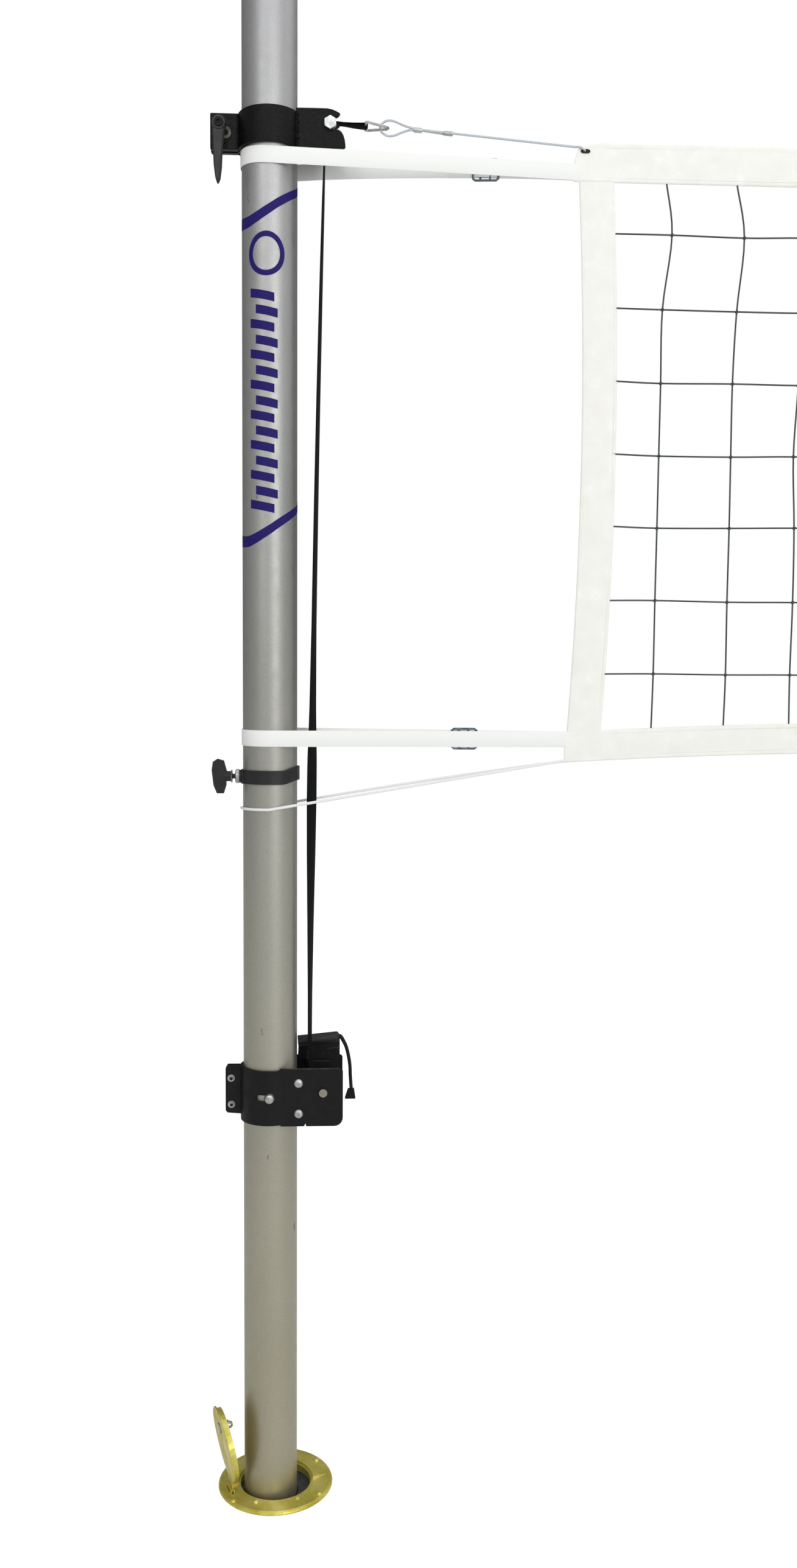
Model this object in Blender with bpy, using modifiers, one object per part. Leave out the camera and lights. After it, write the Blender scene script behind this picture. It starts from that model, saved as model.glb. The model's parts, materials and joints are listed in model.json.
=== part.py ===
"""An indoor volleyball net on two aluminium poles that stand in floor sleeves.

Metres, +Z up, +X along the net. The floor is z = 0 and the origin is at mid-span. The
fittings of a pole are drawn once, in a station frame: its origin is where the pole's axis
meets the floor, and its +X points at the net. The right station is the left one turned
half a turn. The winch, its strap and the snap hook are on the left pole only.
"""
from math import acos, atan2, cos, hypot, pi, radians, sin

import bmesh
import bpy
from mathutils import Matrix, Vector

# Driving dimensions
POLE_SPACING = 10.5
POLE_RADIUS = 0.04445
POLE_WALL = 0.004
POLE_TOP = 2.54
POLE_DEPTH = 0.286
NET_TOP = 2.24
NET_BOTTOM = 1.2545
NET_REACH = 0.496
WEBBING_WIDTH = 0.025
GAP = 0.0003

# The net
TOP_TAPE = 0.062
BOTTOM_TAPE = 0.051
SIDE_TAPE = 0.057
TAPE_THICKNESS = 0.005
MESH_THICKNESS = 0.003
CORNER_DROP = 0.018
CORNER_RUN = 0.6
EDGE_BOW = (0.062, -0.070)

# Fittings, by their height up the pole
TOP_COLLAR = (2.211, 2.267)
CHEEK = (2.213, 2.2735)
CHEEK_FACE = (0.0185, 0.0235)
HEAD_BOLT = (0.097, 2.250)
ROLLER_RADIUS = 0.0065
LEVER_PIVOT = (-0.079, 2.2465)
UPPER_STRAP = (2.1827, 2.2072)
STRAP_TILT = 0.058
LOWER_STRAP = (1.262, 1.288)
LOWER_COLLAR = (1.2012, 1.2238)
ROPE_HEIGHT = 1.1607
WINCH = (0.638, 0.7337)
WINCH_FACE = (0.0415, 0.0455)
DRUM_AXIS = (0.0884, 0.6942)
WINDING_RADIUS = 0.0212
HOOK_START = (0.1535, 2.2570)
HOOK_END = (0.1895, 2.2548)

# Floor fittings
PLATE_CENTRE = (0.0080, 0.0075)
PLATE_RADIUS = 0.0970
HOLE_RADIUS = 0.0625
PLATE_TOP = 0.006
SLEEVE_DEPTH = 0.306
LEDGE = (0.0595, 0.0022)
LID_RADIUS = 0.0610
LID_REACH = 0.0790
LID_HEIGHT = 0.0068
LID_TURN = radians(18)
LID_LEAN = radians(100)

COLOURS = {
    "aluminium": ((0.42, 0.42, 0.41), 0.38, 0.9),
    "black_coat": ((0.012, 0.012, 0.013), 0.45, 0.0),
    "grey_plastic": ((0.09, 0.09, 0.10), 0.5, 0.0),
    "black_plastic": ((0.01, 0.01, 0.01), 0.4, 0.0),
    "zinc": ((0.6, 0.6, 0.58), 0.3, 1.0),
    "bare_steel": ((0.35, 0.33, 0.30), 0.4, 1.0),
    "brass": ((0.42, 0.34, 0.08), 0.35, 1.0),
    "galvanised": ((0.25, 0.25, 0.25), 0.55, 0.8),
    "rubber": ((0.02, 0.02, 0.02), 0.8, 0.0),
    "white_vinyl": ((0.86, 0.87, 0.84), 0.5, 0.0),
    "white_webbing": ((0.84, 0.85, 0.86), 0.7, 0.0),
    "black_webbing": ((0.008, 0.008, 0.008), 0.7, 0.0),
    "net_cord": ((0.05, 0.06, 0.06), 0.8, 0.0),
}


# Scene, materials and placing

def clear_scene():
    for obj in list(bpy.data.objects):
        bpy.data.objects.remove(obj, do_unlink=True)


def make_collection(name):
    group = bpy.data.collections.new(name)
    bpy.context.scene.collection.children.link(group)
    return group


def material(name):
    found = bpy.data.materials.get(name)
    if found:
        return found
    colour, roughness, metallic = COLOURS[name]
    made = bpy.data.materials.new(name)
    made.use_nodes = True
    shader = made.node_tree.nodes["Principled BSDF"]
    shader.inputs["Base Color"].default_value = (*colour, 1.0)
    shader.inputs["Roughness"].default_value = roughness
    shader.inputs["Metallic"].default_value = metallic
    return made


def station(name, x, turn):
    empty = bpy.data.objects.new(name, None)
    empty.location = (x, 0, 0)
    empty.rotation_euler = (0, 0, turn)
    PARTS.objects.link(empty)
    return empty


def finish(obj, name, finish_name, parent=None, location=(0, 0, 0), rotation=(0, 0, 0)):
    """Name a shape, give it its material and place it in its station."""
    obj.name = name
    obj.data.name = name
    obj.data.materials.clear()
    obj.data.materials.append(material(finish_name))
    obj.parent = parent
    obj.location = location
    obj.rotation_euler = rotation
    if obj.type == "MESH":
        obj.data.shade_smooth()
        obj.data.set_sharp_from_angle(angle=radians(35))
    return obj


def both(obj):
    """Repeat a left-hand part on the right station."""
    twin = obj.copy()
    twin.name = obj.name.replace("left_", "right_")
    twin.parent = RIGHT
    PARTS.objects.link(twin)


# Shapes

def from_bmesh(bm):
    mesh = bpy.data.meshes.new("shape")
    bm.to_mesh(mesh)
    bm.free()
    obj = bpy.data.objects.new("shape", mesh)
    PARTS.objects.link(obj)
    return obj


def box(low, high):
    bm = bmesh.new()
    bmesh.ops.create_cube(bm, size=1.0)
    for vert in bm.verts:
        for axis in range(3):
            side = vert.co[axis] + 0.5
            vert.co[axis] = low[axis] + side * (high[axis] - low[axis])
    return from_bmesh(bm)


def rod(radius, start, end, sides=24):
    """A straight round (or, with six sides, hexagonal) bar between two points."""
    start, end = Vector(start), Vector(end)
    run = end - start
    turn = run.to_track_quat("Z", "Y").to_matrix().to_4x4()
    bm = bmesh.new()
    place = Matrix.Translation((start + end) / 2) @ turn
    bmesh.ops.create_cone(bm, cap_ends=True, segments=sides, radius1=radius, radius2=radius,
                          depth=run.length, matrix=place)
    return from_bmesh(bm)


def bake(obj):
    """Replace an object by the mesh that its curve or modifiers make."""
    shape = obj.evaluated_get(bpy.context.evaluated_depsgraph_get())
    mesh = bpy.data.meshes.new_from_object(shape)
    bm = bmesh.new()
    bm.from_mesh(mesh)
    bmesh.ops.remove_doubles(bm, verts=bm.verts, dist=0.000005)
    bmesh.ops.recalc_face_normals(bm, faces=bm.faces)
    baked = from_bmesh(bm)
    baked.matrix_world = obj.matrix_world
    bpy.data.objects.remove(obj, do_unlink=True)
    return baked


def turned(profile, steps=40, closed=True):
    """Turn a profile of (radius, height) points about Z; it runs down its outer side."""
    bm = bmesh.new()
    points = [bm.verts.new((radius, 0, height)) for radius, height in profile]
    for first, second in zip(points, points[1:]):
        bm.edges.new((first, second))
    if closed:
        bm.edges.new((points[-1], points[0]))
    obj = from_bmesh(bm)
    screw = obj.modifiers.new("turn", "SCREW")
    screw.steps = screw.render_steps = steps
    screw.use_merge_vertices = True
    screw.merge_threshold = 0.00001
    return bake(obj)


def along_y(obj):
    """Lay a shape made about Z along Y, its top towards -Y, the outer face of a front part."""
    obj.data.transform(Matrix.Rotation(radians(90), 4, "X"))
    return obj


def moved(obj, x, y, z):
    obj.data.transform(Matrix.Translation((x, y, z)))
    return obj


def plate(outlines, low, high, upright=True):
    """A flat sheet from closed outlines: upright ones lie in XZ, others in XY."""
    curve = bpy.data.curves.new("outline", "CURVE")
    curve.dimensions = "2D"
    curve.fill_mode = "BOTH"
    curve.extrude = (high - low) / 2
    for outline in outlines:
        spline = curve.splines.new("POLY")
        spline.points.add(len(outline) - 1)
        for point, (across, up) in zip(spline.points, outline):
            point.co = (across, up, 0, 1)
        spline.use_cyclic_u = True
    obj = bpy.data.objects.new("outline", curve)
    PARTS.objects.link(obj)
    bpy.context.view_layer.update()
    obj = bake(obj)
    middle = (low + high) / 2
    if upright:
        obj.data.transform(Matrix.Rotation(radians(90), 4, "X"))
        return moved(obj, 0, middle, 0)
    return moved(obj, 0, 0, middle)


def wire(points, radius, cyclic=False):
    curve = bpy.data.curves.new("wire", "CURVE")
    curve.dimensions = "3D"
    curve.bevel_depth = radius
    curve.bevel_resolution = 2
    curve.use_fill_caps = True
    spline = curve.splines.new("POLY")
    spline.points.add(len(points) - 1)
    for point, place in zip(spline.points, points):
        point.co = (*place, 1)
    spline.use_cyclic_u = cyclic
    obj = bpy.data.objects.new("wire", curve)
    PARTS.objects.link(obj)
    bpy.context.view_layer.update()
    return bake(obj)


def combine(operation, target, others):
    for other in others:
        modifier = target.modifiers.new("combine", "BOOLEAN")
        modifier.operation = operation
        modifier.object = other
        bpy.context.view_layer.update()
        target = bake(target)
        bpy.data.objects.remove(other, do_unlink=True)
    return target


def join(target, *others):
    return combine("UNION", target, others)


def cut(target, *others):
    return combine("DIFFERENCE", target, others)


# Outlines

def arc(centre, radius, start, end, count):
    """Points on an arc, its angles in degrees from +X."""
    steps = [radians(start + (end - start) * i / (count - 1)) for i in range(count)]
    return [(centre[0] + radius * cos(a), centre[1] + radius * sin(a)) for a in steps]


def circle(centre, radius, count=20):
    return arc(centre, radius, 0, 360 - 360 / count, count)


def ribbon(path, thickness):
    """The outline of a strip of even thickness that follows a path."""
    sides = ([], [])
    for i, (x, z) in enumerate(path):
        before = path[max(i - 1, 0)]
        after = path[min(i + 1, len(path) - 1)]
        length = hypot(after[0] - before[0], after[1] - before[1])
        normal = ((before[1] - after[1]) / length, (after[0] - before[0]) / length)
        for side, sign in zip(sides, (0.5, -0.5)):
            side.append((x + sign * thickness * normal[0], z + sign * thickness * normal[1]))
    return sides[0] + sides[1][::-1]


def teardrop(radius, tip, tip_half, count=26):
    """A loop round the pole whose two tangent runs meet at the net's edge."""
    reach = hypot(tip, tip_half)
    touch = acos(radius / reach) + atan2(tip_half, tip)
    start, end = -touch, touch - 2 * pi
    turns = [start + (end - start) * i / (count - 1) for i in range(count)]
    bend = [(radius * cos(a), radius * sin(a)) for a in turns]
    return [(tip, -tip_half), *bend, (tip, tip_half)]


# Poles and floor fittings

def make_pole():
    inner = POLE_RADIUS - POLE_WALL
    wall = [(POLE_RADIUS, POLE_TOP), (POLE_RADIUS, -POLE_DEPTH), (inner, -POLE_DEPTH), (inner, POLE_TOP)]
    both(finish(turned(wall, steps=48), "left_pole", "aluminium", LEFT))

    spigot = inner - GAP
    cap = [(0, 0.009), (0.024, 0.0085), (0.038, 0.0065), (0.043, 0.003), (POLE_RADIUS, GAP),
           (spigot, GAP), (spigot, -0.025), (0, -0.025)]
    both(finish(turned(cap, 28, closed=False), "left_pole_cap", "rubber", LEFT, (0, 0, POLE_TOP)))

    foot = [(0, 0.030), (spigot, 0.030), (spigot, -GAP), (0.0435, -GAP), (0.0435, -0.009), (0, -0.009)]
    both(finish(turned(foot, 20, closed=False), "left_pole_foot", "rubber", LEFT, (0, 0, -POLE_DEPTH)))


def make_sleeve():
    bore, wall, lip = 0.0462, 0.0508, 0.0740
    floor, drain, top = -SLEEVE_DEPTH, 0.008, -0.0112
    profile = [(lip, top), (lip, top - 0.004), (wall, top - 0.004), (wall, floor), (drain, floor),
               (drain, floor + 0.009), (bore, floor + 0.009), (bore, top)]
    both(finish(turned(profile, 28), "left_floor_sleeve", "galvanised", LEFT))


def on_lid(reach):
    """A point on the open lid, so far from its hinge, in the station's frame."""
    turn = Matrix.Rotation(LID_TURN, 3, "Z")
    hinge = Vector((*PLATE_CENTRE, LID_HEIGHT)) + turn @ Vector((-LID_REACH, 0, 0))
    return hinge + turn @ Matrix.Rotation(-LID_LEAN, 3, "Y") @ Vector((reach, 0, 0))


def make_floor_plate():
    skirt, ledge, ledge_top = HOLE_RADIUS + 0.003, *LEDGE
    profile = [(PLATE_RADIUS - 0.004, PLATE_TOP), (PLATE_RADIUS - 0.001, PLATE_TOP - 0.0018),
               (PLATE_RADIUS, 0.002), (PLATE_RADIUS, 0.0), (skirt, 0.0), (skirt, -0.010),
               (ledge, -0.010), (ledge, ledge_top), (HOLE_RADIUS, ledge_top), (HOLE_RADIUS, PLATE_TOP)]
    ring = turned(profile, steps=44)
    x, z = -LID_REACH, LID_HEIGHT
    for side in (-1, 1):
        inner, outer = sorted((side * 0.0100, side * 0.0155))
        ring = join(ring, box((x - 0.0036, inner, 0.0030), (x + 0.0036, outer, z + 0.0036)))
    ring = cut(ring, box((x - 0.0048, -0.0099, ledge_top), (x + 0.0190, 0.0099, 0.03)))
    ring = cut(ring, rod(0.0021, (x, -0.02, z), (x, 0.02, z), 12))
    both(finish(ring, "left_floor_plate", "brass", LEFT, (*PLATE_CENTRE, 0), (0, 0, LID_TURN)))
    pin = rod(0.0018, (0, -0.0175, 0), (0, 0.0175, 0), 12)
    both(finish(pin, "left_lid_hinge_pin", "bare_steel", LEFT, on_lid(0), (0, 0, LID_TURN)))


def make_lid():
    """The lid is drawn shut, with its hinge at the origin, and stands open against its stop."""
    top, under, rim = -0.0010, -0.0040, -0.0115
    disc = [(0, top), (LID_RADIUS - 0.0012, top), (LID_RADIUS, top - 0.001), (LID_RADIUS, under), (0.0570, under),
            (0.0570, rim), (0.0545, rim), (0.0545, under), (0, under)]
    lid = moved(turned(disc, 36, closed=False), LID_REACH, 0, 0)
    lid = join(lid, box((0.0, -0.0095, under), (0.0210, 0.0095, top)), rod(0.0038, (0, -0.0095, 0), (0, 0.0095, 0), 16))
    for side in (-1, 1):
        inner, outer = sorted((side * 0.0095, side * 0.0170))
        lid = cut(lid, box((-0.01, inner, -0.0060), (0.0080, outer, 0.004)))
    lid = cut(lid, rod(0.0021, (0, -0.012, 0), (0, 0.012, 0), 12))
    lock_x = LID_REACH + 0.030
    lid = cut(lid, rod(0.0064, (lock_x, 0, -0.01), (lock_x, 0, 0.01), 20))
    both(finish(lid, "left_lid", "brass", LEFT, on_lid(0), (0, -LID_LEAN, LID_TURN)))

    stud = [(0, 0.0012), (0.0085, 0.0012), (0.0085, top + GAP), (0.0060, top + GAP), (0.0060, under - GAP),
            (0.0085, under - GAP), (0.0085, -0.0075), (0.0060, -0.0075), (0.0060, -0.0190),
            (0.0045, -0.0205), (0, -0.0205)]
    lock = turned(stud, 20, closed=False)
    lock = join(lock, box((-0.0035, 0, -0.0180), (0.0035, 0.0105, -0.0160)))
    both(finish(lock, "left_lid_lock", "zinc", LEFT, on_lid(lock_x), (0, -LID_LEAN, LID_TURN)))


# Collars

def make_top_collar():
    low, high = TOP_COLLAR
    inner, outer = POLE_RADIUS + GAP, 0.0505
    band = turned([(outer, high), (outer, low), (inner, low), (inner, high)], steps=40)
    x, z = HEAD_BOLT
    bottom, top = CHEEK
    slot = arc((x, z), 0.0056, 60, 300, 9)
    crown = arc((x - 0.004, top - 0.0215), 0.0215, 80, 40, 4)
    lobe = arc((x + 0.0045, bottom + 0.0215), 0.0215, 68, 0, 6)
    mouth = [(x + 0.0165, z + 0.0120), (x + 0.0110, z + 0.0085)]
    outline = [(0.0425, bottom), (0.0425, top), *crown, *mouth, *slot, (x + 0.0090, z - 0.0085), *lobe,
               (x + 0.026, bottom + 0.003), (x + 0.023, bottom)]
    inside, outside = CHEEK_FACE
    band = join(band, plate([outline], -outside, -inside), plate([outline], inside, outside))
    band = join(band, box((-0.0935, -0.0115, low), (-0.0470, 0.0115, high)))
    pivot_x, pivot_z = LEVER_PIVOT
    band = cut(band, box((-0.12, -0.0025, low - 0.01), (-0.03, 0.0025, high + 0.01)))
    band = cut(band, rod(0.0044, (pivot_x, -0.03, pivot_z), (pivot_x, 0.03, pivot_z), 16))
    both(finish(band, "left_top_collar", "black_coat", LEFT))


def make_head_bolt():
    """The bolt across the cheeks: it carries the strap roller, or on the right the cable's eye."""
    x, z = HEAD_BOLT
    face = CHEEK_FACE[1] + GAP
    shank = rod(0.0050, (0, -face - 0.003, 0), (0, face + 0.003, 0), 20)
    head = rod(0.0105, (0, -face - 0.0065, 0), (0, -face, 0), 6)
    nut = rod(0.0100, (0, face, 0), (0, face + 0.007, 0), 6)
    both(finish(join(shank, head, nut), "left_head_bolt", "zinc", LEFT, (x, 0, z)))


def make_clamp_lever():
    x, z = LEVER_PIVOT
    hub = rod(0.0110, (0, -0.0290, 0), (0, -0.0120, 0), 28)
    blade = [(-0.0105, 0), *arc((-0.001, -0.0890), 0.0065, 190, 350, 7), (0.0095, -0.030), (0.0105, 0)]
    lever = join(hub, plate([blade], -0.0290, -0.0200))
    lever = cut(lever, rod(0.0044, (0, -0.04, 0), (0, 0, 0), 16), rod(0.0075, (0, -0.04, 0), (0, -0.026, 0), 20))
    both(finish(lever, "left_clamp_lever", "grey_plastic", LEFT, (x, 0, z)))

    shank = rod(0.0040, (0, -0.0270, 0), (0, 0.0180, 0), 16)
    head = cut(rod(0.0070, (0, -0.0310, 0), (0, -0.0260 - GAP, 0), 20), rod(0.0035, (0, -0.04, 0), (0, -0.0285, 0), 6))
    nut = rod(0.0075, (0, 0.0118, 0), (0, 0.0170, 0), 6)
    both(finish(join(shank, head, nut), "left_clamp_screw", "zinc", LEFT, (x, 0, z)))


def make_lower_collar():
    low, high = LOWER_COLLAR
    inner, outer = POLE_RADIUS + GAP, 0.0485
    middle = (low + high) / 2
    band = turned([(outer, high), (outer, low), (inner, low), (inner, high)], steps=36)
    band = join(band, rod(0.0105, (-0.0610, 0, middle), (-0.0460, 0, middle), 24))
    band = join(band, rod(0.0045, (0.0490, 0, low), (0.0490, 0, high + 0.002), 16))
    band = cut(band, rod(0.0043, (-0.08, 0, middle), (-0.03, 0, middle), 16), rod(inner, (0, 0, 1.1), (0, 0, 1.3), 36))
    both(finish(band, "left_lower_collar", "black_coat", LEFT))

    screw = rod(0.0040, (-0.0020, 0, 0), (0.0265, 0, 0), 16)
    stem = rod(0.0085, (-0.0030, 0, 0), (0.0100, 0, 0), 20)
    wing = [(-0.0145, 0.0285), (-0.0215, 0.0240), (-0.0235, 0.0100), (-0.0205, -0.0150),
            (-0.0150, -0.0280), (-0.0040, -0.0280), (0.0, -0.0150), (0.0005, 0.0090), (-0.0040, 0.0255)]
    knob = join(plate([wing], -0.0065, 0.0065), stem, screw)
    both(finish(knob, "left_clamp_knob", "black_plastic", LEFT, (-0.0720, 0, middle)))


# Winch

def make_winch_bracket(name, side):
    """One half of the winch's clamp: it wraps the pole and runs on as the side plate."""
    low, high = WINCH
    inner, outer = 0.0450, 0.0495
    near, far = WINCH_FACE
    half = turned([(outer, high - 0.003), (outer, low + 0.002), (inner, low + 0.002), (inner, high - 0.003)], steps=48)
    face = [(0.0185, low), *arc((0.1069, low + 0.014), 0.014, -90, 0, 6),
            *arc((0.1159, high - 0.005), 0.005, 0, 90, 4), (0.0185, high)]
    ear = [(-0.0460, low + 0.010), (-0.0460, high - 0.004), (-0.0710, high - 0.004),
           (-0.0743, high - 0.009), (-0.0743, low + 0.016), (-0.0710, low + 0.012)]
    bore = circle(DRUM_AXIS, 0.0055, 16)
    half = cut(half, box((-0.06, -0.0020, low - 0.01), (0.06, 0.06, high + 0.01)))
    half = cut(half, box((0.0240, -near + GAP, low - 0.01), (0.06, 0.01, high + 0.01)))
    half = join(half, plate([face, bore], -far, -near), plate([ear], -0.0065, -0.0020))
    if side < 0:
        middle = 0.6857
        slot = [*arc((0.0040, middle), 0.0055, -90, 90, 5), *arc((-0.0169, middle), 0.0055, 90, 270, 5)]
        nick = [(0.0565, low - 0.001), (0.0607, low - 0.001), (0.0594, low + 0.0046)]
        half = cut(half, plate([slot], -0.06, -0.04), plate([nick], -0.06, -0.04))
    else:
        half.data.transform(Matrix.Scale(-1, 4, (0, 1, 0)))
        half.data.flip_normals()
    finish(half, name, "black_coat", LEFT)


def make_winch():
    make_winch_bracket("winch_front_bracket", -1)
    make_winch_bracket("winch_rear_bracket", 1)

    head = [(0, 0.0060), (0.0040, 0.0054), (0.0070, 0.0036), (0.0088, 0.0), (0.0042, 0.0), (0.0042, -0.0045), (0, -0.0045)]
    bolt = along_y(turned(head, 20, closed=False))
    finish(bolt, "winch_slot_bolt", "zinc", LEFT, (0.0006, -0.0495 - GAP, 0.6857))

    x, z = DRUM_AXIS
    place = (x, 0, z)
    rear_flange = [(0.0235, -0.0155), (0.0235, -0.0185), (0.0053, -0.0185), (0.0053, 0.0150),
                   (0.0105, 0.0150), (0.0105, -0.0155)]
    finish(along_y(turned(rear_flange, 28)), "winch_drum", "bare_steel", LEFT, place)

    half = WEBBING_WIDTH / 2
    coil = [(WINDING_RADIUS, half), (WINDING_RADIUS, -half), (0.0108, -half), (0.0108, half)]
    finish(along_y(turned(coil, 28)), "strap_winding", "black_webbing", LEFT, place)

    teeth = 12
    pitch = 360 / teeth
    tips = [arc((0, 0), radius, i * pitch, i * pitch, 2)[0] for i in range(teeth) for radius in (0.0235, 0.0192)]
    finish(plate([tips, circle((0, 0), 0.0053, 16)], -0.0190, -0.0155), "ratchet_wheel", "bare_steel", LEFT, place)

    axle = rod(0.0050, (0, -0.0460, 0), (0, 0.0460, 0), 20)
    face = WINCH_FACE[1] + GAP
    axle = join(axle, rod(0.0068, (0, -face - 0.004, 0), (0, -face, 0), 20), rod(0.0090, (0, face, 0), (0, face + 0.006, 0), 6))
    finish(axle, "drum_axle", "bare_steel", LEFT, place)

    finger = [(-0.0045, 0.0030), (-0.0100, -0.0080), (-0.0075, -0.0105), (0.0010, -0.0050), (0.0045, 0.0), (0.0, 0.0050)]
    pawl = join(plate([finger], -0.0190, -0.0155), rod(0.0030, (0, -WINCH_FACE[0] + GAP, 0), (0, -0.0170, 0), 14))
    finish(pawl, "winch_pawl", "bare_steel", LEFT, (x + 0.0250, 0, z + 0.0280))


def make_winch_handle():
    """A crank on the drum's axle: a rear arm, a tube grip across its end and a curved bail."""
    x, z = DRUM_AXIS
    arm = [*arc((0, 0), 0.0130, -20, -200, 12), (-0.0420, 0.0560), (-0.0420, 0.0700), (-0.0236, 0.0715),
           (-0.0236, 0.0580), (0.0262, 0.0625), (0.0262, 0.0350)]
    arm = plate([arm, circle((0, 0), 0.0055, 16)], 0.0285, 0.0315)
    finish(arm, "winch_handle", "black_coat", LEFT, (x, 0, z))
    left_end, right_end = Vector((-0.0430, 0.0300, 0.0665)), Vector((0.0245, 0.0300, 0.0732))
    run = right_end - left_end
    length = run.length
    profile = [(0, length + 0.0030), (0.0055, length + 0.0024), (0.0085, length + 0.0008), (0.0098, length - 0.0015),
               (0.0098, 0.0), (0, 0)]
    grip = turned(profile, 24, closed=False)
    grip.data.transform(run.to_track_quat("Z", "Y").to_matrix().to_4x4())
    grip = moved(grip, *left_end)
    slit = [(-0.05, 0.05), (-0.0232, 0.05), (-0.0232, 0.085), (-0.05, 0.085)]
    grip = cut(grip, plate([slit], 0.0285 - GAP, 0.0315 + GAP))
    finish(grip, "handle_grip", "black_plastic", LEFT, (x, 0, z))

    bend = [(0.1195, 0.7725), (0.1215, 0.7695), (0.1243, 0.7625), (0.1273, 0.7535), (0.1300, 0.7440), (0.1322, 0.7320),
            (0.1347, 0.7120), (0.1361, 0.6920), (0.1364, 0.6720)]
    bail = plate([ribbon([(a - x, b - z) for a, b in bend], 0.0055)], 0.0240, 0.0360)
    bail = join(bail, box((0.1250 - x, 0.0235, 0.6620 - z), (0.1431 - x, 0.0365, 0.6784 - z)))
    finish(bail, "handle_bail", "black_coat", LEFT, (x, 0, z))


def make_strap():
    half = WEBBING_WIDTH / 2
    x, z = HEAD_BOLT
    path_radius = ROLLER_RADIUS + 0.0013
    finish(along_y(turned([(ROLLER_RADIUS, 0.0170), (ROLLER_RADIUS, -0.0170), (0.0053, -0.0170), (0.0053, 0.0170)], 24)),
           "strap_roller", "bare_steel", LEFT, (x, 0, z))

    drum_x, drum_z = DRUM_AXIS
    run = [(drum_x - WINDING_RADIUS - 0.0014, drum_z), (x - path_radius, z - GAP)]
    finish(plate([ribbon(run, 0.0018)], -half, half), "tension_strap", "black_webbing", LEFT)

    over = arc((x, z), path_radius, 180, 88, 9)
    finish(plate([ribbon([*over, (HOOK_START[0] - 0.0035, HOOK_START[1])], 0.0018)], -half, half),
           "strap_end", "black_webbing", LEFT)


def make_hook_and_cables():
    (start_x, start_z), (end_x, end_z) = HOOK_START, HOOK_END
    wide, narrow = 0.0145, 0.0045
    ring = [(start_x, -wide, start_z), (start_x + 0.004, -wide - 0.001, start_z), (end_x - 0.003, -narrow, end_z),
            (end_x, 0.0, end_z), (end_x - 0.003, narrow, end_z), (start_x + 0.004, wide + 0.001, start_z),
            (start_x, wide, start_z)]
    finish(wire(ring, 0.0023, cyclic=True), "snap_hook", "zinc", LEFT)

    eye = [(0.1775, 0.0), (0.1810, 0.0068), (0.1890, 0.0108), (0.1990, 0.0100), (0.2180, 0.0030), (0.2290, 0.0),
           (0.2180, -0.0030), (0.1990, -0.0100), (0.1890, -0.0108), (0.1810, -0.0068)]
    middle = HOOK_END[1]
    loop = wire([(a, 0, middle + b) for a, b in eye], 0.0015, cyclic=True)
    slope = (NET_TOP - 0.006 - middle) / (NET_REACH - 0.2270)
    crimp_x = 0.2960
    crimp_z = middle + slope * (crimp_x - 0.2270)
    crimp = rod(0.0030, (0.2265, 0, middle), (crimp_x, 0, crimp_z), 12)
    line = rod(0.0018, (0.2900, 0, crimp_z - slope * 0.006), (NET_REACH - 0.001, 0, NET_TOP - 0.006), 10)
    finish(join(loop, crimp, line), "left_net_cable", "zinc", LEFT)

    x, z = HEAD_BOLT
    ring = wire([(a, 0, b) for a, b in circle((x, z), 0.0080, 18)], 0.0018, cyclic=True)
    line = rod(0.0018, (x + 0.0075, 0, z), (NET_REACH - 0.001, 0, NET_TOP - 0.006), 10)
    finish(join(ring, line), "right_net_cable", "zinc", RIGHT)


# Net

def edge_reach(z):
    """How far the net's outer edge stands from its pole's axis: the edge bows in mid-height."""
    down = NET_TOP - z
    return NET_REACH + EDGE_BOW[0] * down + EDGE_BOW[1] * down * down


def corner_drop(reach):
    """The bottom ropes pull each lower corner down; the drop fades along the net."""
    along = min(max((reach - edge_reach(NET_BOTTOM)) / CORNER_RUN, 0.0), 1.0)
    return CORNER_DROP * (1 - along) ** 2


def make_net():
    half_span = POLE_SPACING / 2
    tape = TAPE_THICKNESS / 2
    top_low = NET_TOP - TOP_TAPE
    top_x = half_span - NET_REACH
    finish(plate([[(-top_x, top_low), (top_x, top_low), (top_x, NET_TOP), (-top_x, NET_TOP)]], -tape, tape),
           "top_tape", "white_vinyl")

    low_reach = edge_reach(NET_BOTTOM - CORNER_DROP)
    reaches = [low_reach + CORNER_RUN * i / 6 for i in range(7)]
    lower = [(half_span - reach, NET_BOTTOM - corner_drop(reach)) for reach in reaches]
    upper = [(x, z + BOTTOM_TAPE) for x, z in lower]
    outline = [*[(-x, z) for x, z in lower], *lower[::-1], *upper, *[(-x, z) for x, z in upper[::-1]]]
    finish(plate([outline], -tape, tape), "bottom_tape", "white_vinyl")

    tape_top = NET_BOTTOM + BOTTOM_TAPE + GAP
    ladder = [tape_top - corner_drop(low_reach)
              + (top_low - GAP - tape_top + corner_drop(low_reach)) * i / 8 for i in range(9)]
    outer = [(edge_reach(z), z) for z in ladder]
    inner = [(edge_reach(z) + SIDE_TAPE, z) for z in ladder]
    inner[0] = (inner[0][0], tape_top - corner_drop(inner[0][0]))
    both(finish(plate([outer + inner[::-1]], -tape, tape), "left_side_tape", "white_vinyl", LEFT))

    bottom_reaches = [inner[0][0] + GAP] + [r for r in reaches if r > inner[0][0] + 0.02]
    bottom = [(half_span - reach, tape_top - corner_drop(reach)) for reach in bottom_reaches]
    side = [(half_span - reach - GAP, z) for reach, z in inner[1:]]
    right = [*bottom[::-1], *side]
    outline = right + [(-x, z) for x, z in right[::-1]]
    finish(plate([outline], -MESH_THICKNESS / 2, MESH_THICKNESS / 2), "net_mesh", "net_cord")


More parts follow.
